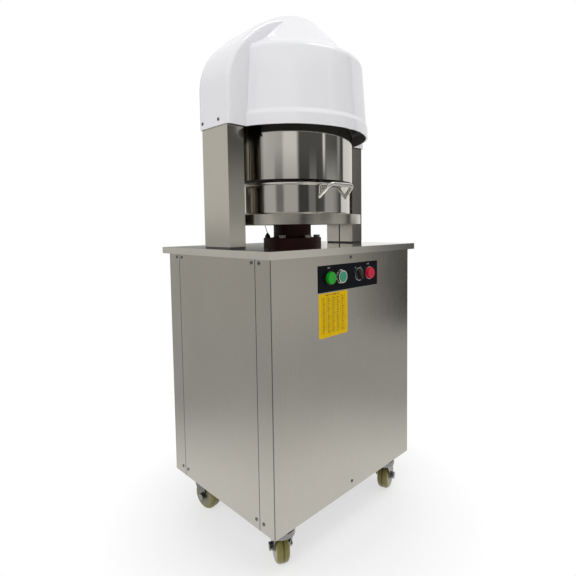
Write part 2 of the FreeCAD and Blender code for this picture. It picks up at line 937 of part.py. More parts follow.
def arch(inset, floor, edge_radius, name):
    """The hood's arch as a solid, with its front and rear edges rounded."""
    body = new_body(name)
    sketch = sketch_on(body, "XZ_Plane", arch_steps(inset, floor), f"{name}_outline")
    pad = padded(body, sketch, (s.hood_half_depth - inset) * 2, f"{name}_pad", symmetric=True)
    doc.recompute()
    deep = (s.hood_half_depth - inset).value
    low = as_size(floor).value
    names = []
    for i, edge in enumerate(pad.Shape.Edges):
        box = edge.BoundBox
        near = deep * 1e-5
        on_face = abs(abs(box.Center.y) - deep) < near and box.YLength < near
        if on_face and box.ZMax > low + s.hood_wall.value:
            names.append(f"Edge{i + 1}")
    fillet = body.newObject("PartDesign::Fillet", f"{name}_edges")
    fillet.Base = (pad, names)
    bind(fillet, "Radius", edge_radius)
    body.Tip = fillet
    return body


def drum_steps(inset, floor):
    """Half section of the hood's drum and cone, from its lip up to its crown, set in by a wall."""
    shelf_x, shelf_z = sine(DRUM_SHELF_SLOPE), cosine(DRUM_SHELF_SLOPE)
    cone_x, cone_z = sine(HOOD_SLOPE), cosine(HOOD_SLOPE)
    shoulder = s.drum_shoulder - inset
    centre = s.drum_top_radius - s.drum_shoulder
    shelf_end = (centre + shoulder * shelf_x, top + s.drum_top + shoulder * shelf_z)
    spread = 1 + shelf_x * cone_x + shelf_z * cone_z
    cone_foot = (
        s.cone_foot_radius - inset * ((shelf_x + cone_x) / spread),
        top + s.cone_foot - inset * ((shelf_z + cone_z) / spread),
    )
    crown = top + s.cone_foot + s.cone_height - inset
    corner = cone_foot[0] - (crown - cone_foot[1]) * (cone_z / cone_x)
    bend = s.cone_round - inset
    reach = bend * math.tan(math.radians(HOOD_SLOPE / 2))
    return [
        (0, floor),
        (s.drum_lip_radius - inset, floor),
        (s.drum_lip_radius - inset, hood_floor + s.drum_lip_height),
        (s.drum_foot_radius - inset, hood_floor + s.drum_foot),
        (s.drum_top_radius - inset, top + s.drum_top),
        Arc(shoulder),
        shelf_end,
        cone_foot,
        (corner + reach * cone_z, crown - reach * cone_x),
        Arc(bend),
        (corner - reach, crown),
        (0, crown),
    ]


def make_hood():
    """Moulded hood: an arch over both columns and a drum with a cone, one shell open underneath."""
    flush = as_size(0)
    outside = joined(
        arch(flush, hood_floor, s.hood_edge_radius, "hood_arch"),
        turned(drum_steps(flush, hood_floor), "hood_drum"),
    )
    below = hood_floor - s.overrun
    inside = joined(
        arch(s.hood_wall, below, s.hood_inner_edge_radius, "hood_arch_hollow"),
        turned(drum_steps(s.hood_wall, below), "hood_drum_hollow"),
    )
    subpart(cut(outside, inside), "hood")


def make_pedestal():
    """Cast pedestal bolted through the tabletop, with a bronze bush for the ram."""
    profile = [
        (s.bush_radius, top),
        (s.pedestal_flange_radius, top),
        (s.pedestal_flange_radius, top + s.pedestal_flange),
        (s.pedestal_radius + s.pedestal_fillet, top + s.pedestal_flange),
        Arc(s.pedestal_fillet, left=False),
        (s.pedestal_radius, top + s.pedestal_flange + s.pedestal_fillet),
        (s.pedestal_radius, top + s.pedestal_height),
        (s.bush_radius, top + s.pedestal_height),
    ]
    subpart(cut(turned(profile, "pedestal_casting"), switch_bore()), "pedestal")
    inner = s.ram_radius + s.running_gap
    bush = cut(
        rod(s.bush_radius, (top + s.bush_floor, top + s.pedestal_height)),
        rod(inner, (top, top + s.pedestal_height + s.overrun)),
    )
    subpart(bush, "guide_bush")
    heads = []
    flange_top = top + s.pedestal_flange
    for turn in PEDESTAL_BOLT_ANGLES:
        at = (s.pedestal_bolt_circle / 2 * cosine(turn), s.pedestal_bolt_circle / 2 * sine(turn))
        heads.append(prism(s.bolt_radius, (flange_top, flange_top + s.bolt_head), at))
    subpart(grouped(*heads), "pedestal_bolts")


def arm_web(span):
    """Flat web from the lift nut out to one tie rod, as wide as the arm all the way."""
    reach = math.hypot(s.tie_rod_x.value, s.tie_rod_y.value)
    along = (s.tie_rod_x.value / reach, -s.tie_rod_y.value / reach)
    side = (s.arm_width / 2 * along[1], s.arm_width / 2 * along[0])
    body = new_body("arm_web")
    steps = [
        (side[0], -side[1]),
        (s.tie_rod_x + side[0], -s.tie_rod_y - side[1]),
        (s.tie_rod_x - side[0], side[1] - s.tie_rod_y),
        (-side[0], side[1]),
    ]
    sketch = sketch_on(body, "XY_Plane", steps, "arm_web_outline", span[0])
    padded(body, sketch, span[1] - span[0], "arm_web_pad")
    return body


def make_platform():
    """Tray on the hollow ram, with the lift nut and the arm that stops it turning."""
    low = top + s.tray_underside
    tray = turned(
        [
            (0, tray_floor - s.tray_sheet),
            (s.tray_radius - s.sheet, tray_floor - s.tray_sheet),
            (s.tray_radius - s.sheet, low + s.sheet),
            (s.tray_radius - s.tray_hem, low + s.sheet),
            (s.tray_radius - s.tray_hem, low),
            (s.tray_radius, low),
            (s.tray_radius, tray_floor),
            (0, tray_floor),
        ],
        "tray",
    )
    subpart(tray, "tray")
    ram_top = tray_floor - s.tray_sheet
    flange_low = top + s.pedestal_height + s.body_gap
    ram_low = ram_top - s.ram_length
    ram = turned(
        [
            (s.ram_bore, ram_low),
            (s.ram_radius, ram_low),
            (s.ram_radius, flange_low),
            (s.ram_flange_radius, flange_low),
            (s.ram_flange_radius, ram_top),
            (s.ram_bore, ram_top),
        ],
        "ram",
    )
    subpart(ram, "ram")
    arm_high = ram_low - s.nut_flange
    nut_low = arm_high - s.nut_length
    nut = cut(
        joined(
            rod(s.nut_flange_radius, (arm_high, ram_low)),
            rod(s.nut_radius, (nut_low, arm_high)),
        ),
        rod(s.screw_radius + s.running_gap, (nut_low - s.overrun, ram_low + s.overrun)),
    )
    subpart(nut, "lift_nut")
    arm_low = arm_high - s.arm_thickness
    span = (arm_low, arm_high)
    through = (arm_low - s.overrun, arm_high + s.overrun)
    guide = (s.tie_rod_x, -s.tie_rod_y)
    arm = cut(
        joined(rod(s.nut_flange_radius, span), arm_web(span), rod(s.arm_end, span, guide)),
        rod(s.nut_radius, through),
        rod(s.tie_rod_radius + s.running_gap, through, guide),
    )
    subpart(arm, "anti_turn_arm")


def make_pan():
    """Polished dough pan with a rolled rim, standing on the tray."""
    inner = s.pan_radius - s.pan_wall
    rim = tray_floor + s.pan_height
    corner = s.pan_corner
    inside_corner = corner - s.pan_wall
    floor = tray_floor + s.pan_floor
    profile = [
        (0, tray_floor),
        (s.pan_radius - corner, tray_floor),
        Arc(corner),
        (s.pan_radius, tray_floor + corner),
        (s.pan_radius, rim - s.pan_bead_drop),
        Arc(s.pan_bead_radius, long_way=True),
        (inner, rim),
        (inner, floor + inside_corner),
        Arc(inside_corner, left=False),
        (inner - inside_corner, floor),
        (0, floor),
    ]
    subpart(turned(profile, "pan"), "pan")


def make_handle():
    """Round-bar handle: two legs that rise outwards from the pan's wall, two bends and a straight grip."""
    foot_y = root(s.pan_radius * s.pan_radius - s.handle_foot_x * s.handle_foot_x)
    out = s.handle_reach - foot_y
    rise = s.handle_grip - s.handle_foot
    length = root(out * out + rise * rise)
    lean = math.atan2((s.handle_foot_x - s.handle_grip_x).value, length.value)
    tilt = math.degrees(math.atan2(rise.value, out.value))
    bend = s.handle_bend
    corner_x = s.handle_grip_x - bend * math.tan((math.pi / 2 - lean) / 2)
    corner_y = length - bend
    touch_x = corner_x + bend * math.cos(lean)
    touch_y = corner_y + bend * math.sin(lean)
    splay = s.handle_foot_x - touch_x
    leg = root(splay * splay + touch_y * touch_y) + s.handle_bar_radius * 2
    pieces = [rod(s.handle_bar_radius, (-corner_x, corner_x), (length, 0), "x")]
    for side in (-1, 1):
        bar = rod(s.handle_bar_radius, (0, leg), (0, 0), "z", "handle_leg")
        way = FreeCAD.Vector(side * math.sin(lean), -math.cos(lean), 0)
        bar.Placement = FreeCAD.Placement(FreeCAD.Vector(), FreeCAD.Rotation(UP, way))
        pieces.append(place(bar, side * touch_x, touch_y))
        elbow = doc.addObject("Part::Torus", "handle_bend")
        bind(elbow, "Radius1", bend)
        bind(elbow, "Radius2", s.handle_bar_radius)
        elbow.Angle3 = math.degrees(math.pi / 2 - lean)
        start = math.degrees(lean if side > 0 else math.pi / 2)
        elbow.Placement = FreeCAD.Placement(FreeCAD.Vector(), FreeCAD.Rotation(UP, start))
        pieces.append(place(elbow, side * corner_x, corner_y))
    bar = joined(*pieces, name="handle_bar")
    over = FreeCAD.Rotation(FreeCAD.Vector(1, 0, 0), 180 - tilt)
    bar.Placement = FreeCAD.Placement(FreeCAD.Vector(), over)
    place(bar, 0, -foot_y, top + s.handle_foot)
    inside = rod(s.pan_radius, (tray_floor, tray_floor + s.pan_height * 2))
    subpart(cut(bar, inside), "pan_handle")


def make_lift():
    """Lead screw in a flange bearing, its hanging plate and tie rods, and the belt drive from the motor."""
    plate_high = frame_top - s.bearing_plate_drop
    plate_low = plate_high - s.bearing_plate_thickness
    span = (plate_high, frame_top - s.lift_plate_thickness)
    rods = [
        rod(s.tie_rod_radius, span, (x * s.tie_rod_x, y * s.tie_rod_y)) for x in (-1, 1) for y in (-1, 1)
    ]
    subpart(grouped(*rods), "tie_rods")
    bearing_bore = s.screw_radius + s.running_gap
    plate = cut(
        block(
            (-s.bearing_plate_half_width, s.bearing_plate_half_width),
            (-s.bearing_plate_front, inner_y - s.bearing_plate_gap),
            (plate_low, plate_high),
        ),
        rod(bearing_bore, (plate_low - s.overrun, plate_high + s.overrun)),
        rod(s.motor_opening_radius, (plate_low - s.overrun, plate_high + s.overrun), (0, motor_y)),
    )
    subpart(plate, "bearing_plate")
    bearing_top = plate_high + s.bearing_height
    bearing = cut(
        rod(s.bearing_radius, (plate_high, bearing_top)),
        rod(bearing_bore, (plate_low, bearing_top + s.overrun)),
    )
    subpart(bearing, "screw_bearing")
    pulley_high = plate_low - s.pulley_gap
    pulley_low = pulley_high - s.pulley_height
    screw_high = top + s.screw_top
    belt_span = (pulley_low, pulley_high)
    subpart(rod(s.screw_radius, (pulley_low, screw_high)), "lift_screw")
    subpart(pulley(s.screw_pulley_radius, s.screw_radius, belt_span, as_size(0)), "screw_pulley")
    subpart(finned_motor(plate_high, plate_high + s.motor_length), "motor")
    shaft = rod(s.motor_shaft_radius, (pulley_low, plate_high - s.body_gap), (0, motor_y))
    wheel = pulley(s.motor_pulley_radius, s.motor_shaft_radius, belt_span, motor_y)
    subpart(joined(shaft, wheel), "motor_pulley")
    make_belt((pulley_low + pulley_high) / 2)


def pulley(radius, bore, span, y):
    """Flanged belt pulley: a hub between two thin rims."""
    low, high = span
    return cut(
        joined(
            rod(radius, span, (0, y)),
            rod(radius + s.belt_thickness, (low, low + s.pulley_rim), (0, y)),
            rod(radius + s.belt_thickness, (high - s.pulley_rim, high), (0, y)),
        ),
        rod(bore, (low - s.overrun, high + s.overrun), (0, y)),
    )


def finned_motor(low, high):
    """Finned motor barrel on its flange, with a terminal box on the rear side."""
    fins = []
    start = low + s.motor_flange + s.motor_fin
    pitch = (high - start) / MOTOR_FIN_COUNT
    for n in range(MOTOR_FIN_COUNT):
        z = start + n * pitch
        fins.append(rod(s.motor_radius, (z, z + s.motor_fin), (0, motor_y)))
    barrel = rod(s.motor_radius - s.motor_fin_depth, (low, high), (0, motor_y))
    flange = rod(s.motor_radius, (low, low + s.motor_flange), (0, motor_y))
    side = s.motor_radius - s.motor_fin_depth * 2
    middle = (low + high) / 2
    box = block(
        (side, side + s.motor_box_depth),
        (motor_y - s.motor_box / 2, motor_y + s.motor_box / 2),
        (middle - s.motor_box / 2, middle + s.motor_box / 2),
    )
    return joined(barrel, flange, box, *fins)


def belt_loop(big, small, span, name):
    """Solid loop round both pulleys: two arcs joined by straight runs tangent to both."""
    lean = (big - small) / motor_y
    across = root(1 - lean * lean)
    body = new_body(name)
    steps = [
        (-(big * across), big * lean),
        Arc(big, long_way=True),
        (big * across, big * lean),
        (small * across, motor_y + small * lean),
        Arc(small),
        (-(small * across), motor_y + small * lean),
    ]
    sketch = sketch_on(body, "XY_Plane", steps, f"{name}_outline", span[0])
    padded(body, sketch, span[1] - span[0], f"{name}_pad")
    return body


def make_belt(middle):
    """Flat belt round both pulleys, with a running gap to them."""
    big = s.screw_pulley_radius + s.body_gap
    small = s.motor_pulley_radius + s.body_gap
    thick = s.belt_thickness - s.body_gap * 2
    half = s.belt_width / 2
    outside = belt_loop(big + thick, small + thick, (middle - half, middle + half), "belt_outside")
    inside = belt_loop(big, small, (middle - s.belt_width, middle + s.belt_width), "belt_inside")
    subpart(cut(outside, inside), "drive_belt")


def make_switch():
    """Limit switch: its body under the lift plate, its barrel through the pedestal and its rubber boot."""
    flange_top = top + s.pedestal_flange
    under = frame_top - s.lift_plate_thickness
    boot_side = flange_top + s.switch_boot_side
    boot_top = flange_top + s.switch_boot_height
    boot = turned(
        [
            (0, flange_top),
            (s.switch_boot_radius, flange_top),
            (s.switch_boot_radius, boot_side),
            (s.switch_boot_crown, boot_top),
            (0, boot_top),
        ],
        "switch_boot",
    )
    place(boot, -s.switch_x, s.switch_y)
    half = s.switch_body_width / 2
    body = block(
        (-s.switch_x - half, half - s.switch_x),
        (s.switch_y - half, s.switch_y + half),
        (under - s.switch_body_height, under),
    )
    span = (under - s.overrun, flange_top + s.overrun / 2)
    barrel = rod(s.switch_barrel_radius, span, (-s.switch_x, s.switch_y))
    whisker_low = boot_top - s.whisker_foot
    rise = tray_floor - s.tray_sheet - s.body_gap * 2 - whisker_low
    lean = (-s.whisker_lean_x, s.whisker_lean_y)
    length = root(lean[0] * lean[0] + lean[1] * lean[1] + rise * rise) - s.whisker_radius / 2
    way = FreeCAD.Vector(lean[0].value, lean[1].value, rise.value)

    def wire():
        bar = rod(s.whisker_radius, (0, length))
        bar.Placement = FreeCAD.Placement(FreeCAD.Vector(), FreeCAD.Rotation(UP, way))
        return place(bar, -s.switch_x, s.switch_y, whisker_low)

    subpart(cut(joined(boot, barrel, body), wire()), "limit_switch")
    subpart(wire(), "limit_whisker")


def control_collar(x):
    """Fixed cup and barrel of a push button or the selector, bored for its stem."""
    face = -plate_face
    rim = face - s.bezel_height
    end = face + s.barrel_length
    return cut(
        joined(along_y(s.bezel_radius, rim, face, x), along_y(s.barrel_radius, rim, end, x)),
        along_y(s.bezel_bore, rim - s.overrun, face - s.bezel_web, x),
        along_y(s.stem_radius_control + s.running_gap, rim - s.overrun, end + s.overrun, x),
        name="collar",
    )


def push_cap(x, name):
    """Round cap with a low step, on a stem that runs in its collar."""
    face = -half_depth - s.controls_reach
    rear = -plate_face - s.bezel_web - s.button_travel - s.button_rest
    stem_end = -plate_face + s.barrel_length - s.button_travel - s.button_rest
    cap = joined(
        along_y(s.button_radius - s.button_dome, face, rear, x),
        along_y(s.button_radius, face + s.button_dome, rear, x),
        along_y(s.stem_radius_control, rear, stem_end, x),
    )
    subpart(cap, name)


def make_controls():
    """Black control plate with two push buttons, an indicator lamp and a two-position selector."""
    spots = control_spots()
    plate = block(
        (-s.plate_left, s.plate_right),
        (-plate_face, -half_depth),
        (top - s.plate_drop - s.plate_height, top - s.plate_drop),
    )
    holes = [
        along_y(s.barrel_radius + s.running_gap, -plate_face - s.overrun, s.overrun - half_depth, x)
        for x in spots.values()
    ]
    subpart(cut(plate, *holes), "control_plate")
    subpart(grouped(*[control_collar(spots[k]) for k in ("green", "selector", "red")]), "control_collars")
    push_cap(spots["green"], "green_button")
    push_cap(spots["red"], "red_button")
    make_lamp(spots["lamp"])
    x = spots["selector"]
    face = -half_depth - s.controls_reach
    rear = -plate_face - s.bezel_web - s.body_gap
    base = rear - s.knob_base
    grip = s.knob_grip_width / 2
    reach = s.button_radius - s.button_dome
    knob = joined(
        rod(s.button_radius, (base, rear), axis="y"),
        block((-grip, grip), (face, base), (-reach, reach)),
        rod(s.stem_radius_control, (rear, -plate_face + s.barrel_length - s.body_gap), axis="y"),
    )
    at_first_mark = FreeCAD.Rotation(FreeCAD.Vector(0, 1, 0), -SELECTOR_THROW / 2)
    knob.Placement = FreeCAD.Placement(FreeCAD.Vector(), at_first_mark)
    subpart(place(knob, x, 0, control_z), "selector_knob")
    contact_face = -plate_face + s.barrel_length
    contacts = [
        block(
            (x - s.contact_width / 2, x + s.contact_width / 2),
            (contact_face, contact_face + s.contact_depth),
            (control_z - s.contact_height / 2, control_z + s.contact_height / 2),
        )
        for x in spots.values()
    ]
    subpart(grouped(*contacts), "contact_blocks")


def make_lamp(x):
    """Indicator lamp: a base ring, a barrel and a rim in one piece, with the lens set in the rim."""
    face = -plate_face
    rim = -half_depth - s.controls_reach + s.lamp_dome
    seat = rim + s.lamp_rim / 2
    lamp = cut(
        joined(
            along_y(s.bezel_radius, face - s.lamp_base, face, x),
            along_y(s.barrel_radius, rim + s.lamp_rim, face + s.barrel_length, x),
            along_y(s.lamp_rim_radius, rim, rim + s.lamp_rim, x),
        ),
        along_y(s.lamp_lens_radius, rim - s.overrun, seat, x),
    )
    subpart(lamp, "lamp_body")
    lens = joined(
        along_y(s.lamp_lens_radius, rim, seat, x),
        along_y(s.lamp_lens_radius - s.lamp_dome, rim - s.lamp_dome, rim, x),
    )
    subpart(lens, "lamp_lens")


def make_electrics():
    """Control box on the inside of the rear panel, and the cable gland through it."""
    high = frame_top - s.tube - s.box_drop
    side = s.tube + s.box_from_post - inner_x
    box = block(
        (side, side + s.box_width),
        (inner_y - s.box_depth, inner_y),
        (high - s.box_height, high),
    )
    subpart(box, "electrical_box")
    out = half_depth + s.controls_reach
    inside = inner_y - s.gland_nut_height
    gland = cut(
        joined(
            prism(s.gland_nut_radius, (half_depth, half_depth + s.gland_nut_height), gland_spot, "y"),
            rod(s.gland_radius, (inside, out), gland_spot, "y"),
            prism(s.gland_nut_radius, (inside, inner_y), gland_spot, "y"),
        ),
        rod(s.gland_bore, (inside - s.overrun, out + s.overrun), gland_spot, "y"),
    )
    subpart(gland, "cable_gland")


def caster_heights():
    """Heights of a caster's layers, from the mounting plate down to the axle."""
    plate_low = s.ground_clearance - s.caster_plate_thickness
    race_low = plate_low - s.raceway_height
    cap_high = race_low - s.body_gap
    return plate_low, race_low, cap_high


def make_caster_plates():
    """Mounting plates with their raceways and kingpins, screwed under the base plate."""
    plate_low, race_low, cap_high = caster_heights()
    pieces = []
    for x in (-1, 1):
        for y in (-1, 1):
            at = (x * caster_x, y * caster_y)
            half = s.caster_plate_length / 2
            wide = s.caster_plate_width / 2
            plate = block(
                (at[0] - half, at[0] + half),
                (at[1] - wide, at[1] + wide),
                (plate_low, s.ground_clearance),
            )
            race = rod(s.raceway_radius, (race_low, plate_low), at)
            cap_low = cap_high - s.fork_wall
            pin = rod(s.kingpin_radius, (cap_low - s.body_gap, race_low), at)
            head = rod(
                s.kingpin_head_radius,
                (cap_low - s.body_gap - s.kingpin_head_height, cap_low - s.body_gap),
                at,
            )
            pieces.append(joined(plate, race, pin, head, name="caster_plate"))
    subpart(grouped(*pieces), "caster_plates")


def wheel_steps():
    """Half section of a wheel with a strongly crowned tread, bored for its axle, about its own axis."""
    bore = s.axle_radius + s.running_gap
    edge = s.wheel_half_width
    crown = s.wheel_crown_half_width
    run = edge - crown
    rise = s.wheel_radius - s.wheel_shoulder_radius
    radius = (run * run + rise * rise) / (2 * rise)
    return [
        (bore, -s.wheel_hub_half_width),
        (s.wheel_hub_radius, -s.wheel_hub_half_width),
        (s.wheel_hub_radius, -edge),
        (s.wheel_shoulder_radius, -edge),
        Arc(radius),
        (s.wheel_radius, -crown),
        (s.wheel_radius, crown),
        Arc(radius),
        (s.wheel_shoulder_radius, edge),
        (s.wheel_hub_radius, edge),
        (s.wheel_hub_radius, s.wheel_hub_half_width),
        (bore, s.wheel_hub_half_width),
    ]


def turn_to(thing, angle, x, y):
    """Set a piece that was modelled round its own stem at its caster's place and angle."""
    thing.Placement = FreeCAD.Placement(FreeCAD.Vector(), FreeCAD.Rotation(UP, angle))
    return place(thing, x, y)


def fork_side(side):
    """One leg of a fork: a plate that tapers from the cap down to a round toe at the axle."""
    _, _, cap_high = caster_heights()
    cap_low = cap_high - s.fork_cap_height
    inner = s.wheel_hub_half_width + s.wheel_side_play
    body = new_body("fork_leg")
    shoulder = s.fork_shoulder_half_width
    toe = s.fork_toe_radius
    trail = s.caster_trail
    axle = s.wheel_radius
    ceiling = cap_high - s.fork_wall / 2
    steps = [
        (trail - toe, axle),
        Arc(toe * FORK_TOE_SHARE),
        (trail + toe, axle),
        (shoulder, cap_low),
        (shoulder, ceiling),
        (-shoulder, ceiling),
        (-shoulder, cap_low),
    ]
    offset = -inner - s.fork_wall if side > 0 else inner
    sketch = sketch_on(body, "XZ_Plane", steps, "fork_leg_outline", offset)
    padded(body, sketch, s.fork_wall, "fork_leg_pad")
    return body


def make_caster(name, x_side, y_side, angle):
    """Swivel fork with its axle and nuts, and its wheel, modelled round the stem and then turned."""
    _, _, cap_high = caster_heights()
    cap_low = cap_high - s.fork_cap_height
    x, y = x_side * caster_x, y_side * caster_y
    trail = s.caster_trail
    axle = s.wheel_radius
    inner = s.wheel_hub_half_width + s.wheel_side_play
    outer = inner + s.fork_wall
    cap = cut(
        rod(s.fork_cap_radius, (cap_low, cap_high)),
        rod(s.fork_cap_radius - s.fork_wall, (cap_low - s.overrun, cap_high - s.fork_wall)),
        rod(s.kingpin_radius + s.running_gap, (cap_low, cap_high + s.overrun)),
    )
    pin = rod(s.axle_radius, (-outer - s.axle_nut_height, outer + s.axle_nut_height), (trail, axle), "y")
    nuts = [
        prism(s.axle_nut_radius, (outer, outer + s.axle_nut_height), (trail, axle), "y"),
        prism(s.axle_nut_radius, (-outer - s.axle_nut_height, -outer), (trail, axle), "y"),
    ]
    fork = joined(cap, fork_side(1), fork_side(-1), pin, *nuts, name=f"{name}_fork")
    subpart(turn_to(fork, angle, x, y), f"{name}_fork")
    wheel = turned(wheel_steps(), f"{name}_wheel")
    lying = FreeCAD.Rotation(UP, angle).multiply(TURNS["y"])
    wheel.Placement = FreeCAD.Placement(FreeCAD.Vector(), lying)
    place(wheel, x + trail * cosine(angle), y + trail * sine(angle), axle)
    subpart(wheel, f"{name}_wheel")


def make_casters():
    make_caster_plates()
    corners = (("front_left", -1, -1), ("front_right", 1, -1), ("rear_left", -1, 1), ("rear_right", 1, 1))
    for (name, x_side, y_side), angle in zip(corners, CASTER_ANGLES):
        make_caster(name, x_side, y_side, angle)


def check_document():
    """Stop if any object failed or any piece is empty or not a valid solid."""
    doc.recompute()
    bad = [o.Label for o in doc.Objects if "Invalid" in o.State or "Error" in o.State]
    for thing in subparts:
        if thing.Shape.isNull() or not thing.Shape.isValid() or not thing.Shape.Solids:
            bad.append(thing.Label)
    if bad:
        raise RuntimeError(f"failed objects: {bad}")


def export_parts():
    os.makedirs("parts", exist_ok=True)
    for thing in subparts:
        thing.Shape.exportStep(f"parts/{thing.Label}.step")
        box = thing.Shape.BoundBox
        print(
            f"{thing.Label}: {len(thing.Shape.Solids)} solids, {thing.Shape.Volume / 1000:.1f} cm3, "
            f"x {box.XMin:.1f} {box.XMax:.1f} y {box.YMin:.1f} {box.YMax:.1f} z {box.ZMin:.1f} {box.ZMax:.1f}"
        )


make_frame()
make_top_cover()
make_panels()
make_screws()
make_columns()
make_head()
make_knives()
make_press()
make_press_ring()
make_hood()
make_pedestal()
make_platform()
make_pan()
make_handle()
make_lift()
make_switch()
make_controls()
make_electrics()
make_casters()
check_document()
export_parts()
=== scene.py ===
import json
import math

import bmesh
import bpy
from mathutils import Matrix, Vector


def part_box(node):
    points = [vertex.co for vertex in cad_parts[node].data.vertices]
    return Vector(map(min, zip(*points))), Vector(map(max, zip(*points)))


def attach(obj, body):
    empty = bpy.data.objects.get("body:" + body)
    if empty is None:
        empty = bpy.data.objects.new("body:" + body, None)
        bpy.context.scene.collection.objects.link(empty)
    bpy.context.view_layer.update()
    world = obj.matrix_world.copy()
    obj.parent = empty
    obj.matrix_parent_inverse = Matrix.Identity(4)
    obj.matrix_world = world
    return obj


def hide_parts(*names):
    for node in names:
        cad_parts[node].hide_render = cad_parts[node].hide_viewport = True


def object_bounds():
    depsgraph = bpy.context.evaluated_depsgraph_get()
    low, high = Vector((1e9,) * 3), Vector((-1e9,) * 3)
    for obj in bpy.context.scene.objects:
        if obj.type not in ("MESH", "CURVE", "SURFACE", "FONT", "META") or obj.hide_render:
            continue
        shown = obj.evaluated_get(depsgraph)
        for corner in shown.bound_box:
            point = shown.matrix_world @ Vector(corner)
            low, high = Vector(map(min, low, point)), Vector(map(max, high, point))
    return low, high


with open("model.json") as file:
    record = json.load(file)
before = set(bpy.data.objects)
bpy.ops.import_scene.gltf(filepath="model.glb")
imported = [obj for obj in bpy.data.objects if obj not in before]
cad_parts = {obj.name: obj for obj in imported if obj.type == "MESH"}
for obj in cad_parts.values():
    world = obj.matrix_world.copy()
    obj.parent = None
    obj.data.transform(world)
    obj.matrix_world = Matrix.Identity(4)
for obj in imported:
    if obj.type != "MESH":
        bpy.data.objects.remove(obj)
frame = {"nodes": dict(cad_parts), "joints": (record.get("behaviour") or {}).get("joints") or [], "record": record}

# Looks of a floor-standing dough divider: finishes, small trim, studio and camera, in metres
cad_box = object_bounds()
nodes = frame["nodes"]
scene = bpy.context.scene
scene.view_settings.view_transform = "Standard"
MM = 0.001

# Camera, fitted to the edges of the cabinet, the columns and the hood in the photograph
IMAGE_SIZE = 576
FOCAL_PIXELS = 433.73
CENTRE_PIXEL = (311.3, 256.3)
CAMERA_PLACE = (-0.8007, -0.8510, 0.7490)
CAMERA_YAW = 45.717
CAMERA_PITCH = -3.789
CAMERA_ROLL = -0.653
SENSOR_WIDTH = 36


def make_camera():
    """A camera at the photograph's viewing place, with the photograph's off-centre crop as its shift."""
    yaw, pitch, roll = (math.radians(a) for a in (CAMERA_YAW, CAMERA_PITCH, CAMERA_ROLL))
    ahead = Vector((math.sin(yaw) * math.cos(pitch), math.cos(yaw) * math.cos(pitch), math.sin(pitch)))
    level = Vector((math.cos(yaw), -math.sin(yaw), 0))
    upward = level.cross(ahead)
    right = level * math.cos(roll) + upward * math.sin(roll)
    up = upward * math.cos(roll) - level * math.sin(roll)
    data = bpy.data.cameras.new("camera")
    data.sensor_width = SENSOR_WIDTH
    data.lens = FOCAL_PIXELS / IMAGE_SIZE * SENSOR_WIDTH
    data.shift_x = (IMAGE_SIZE / 2 - CENTRE_PIXEL[0]) / IMAGE_SIZE
    data.shift_y = (CENTRE_PIXEL[1] - IMAGE_SIZE / 2) / IMAGE_SIZE
    camera = bpy.data.objects.new("camera", data)
    turn = Matrix((right, up, -ahead)).transposed().to_4x4()
    camera.matrix_world = Matrix.Translation(CAMERA_PLACE) @ turn
    scene.collection.objects.link(camera)
    scene.camera = camera


make_camera()

# Places of the sockets in a colour mix node
MIX_SHARE, MIX_FIRST, MIX_SECOND, MIX_RESULT = 0, 6, 7, 2
# Span of the pointiness value in which a sharp outer edge comes up
EDGE_SPAN = (0.52, 0.62)
# Span in which most values of a noise lie
NOISE_MIDDLE = (0.3, 0.7)


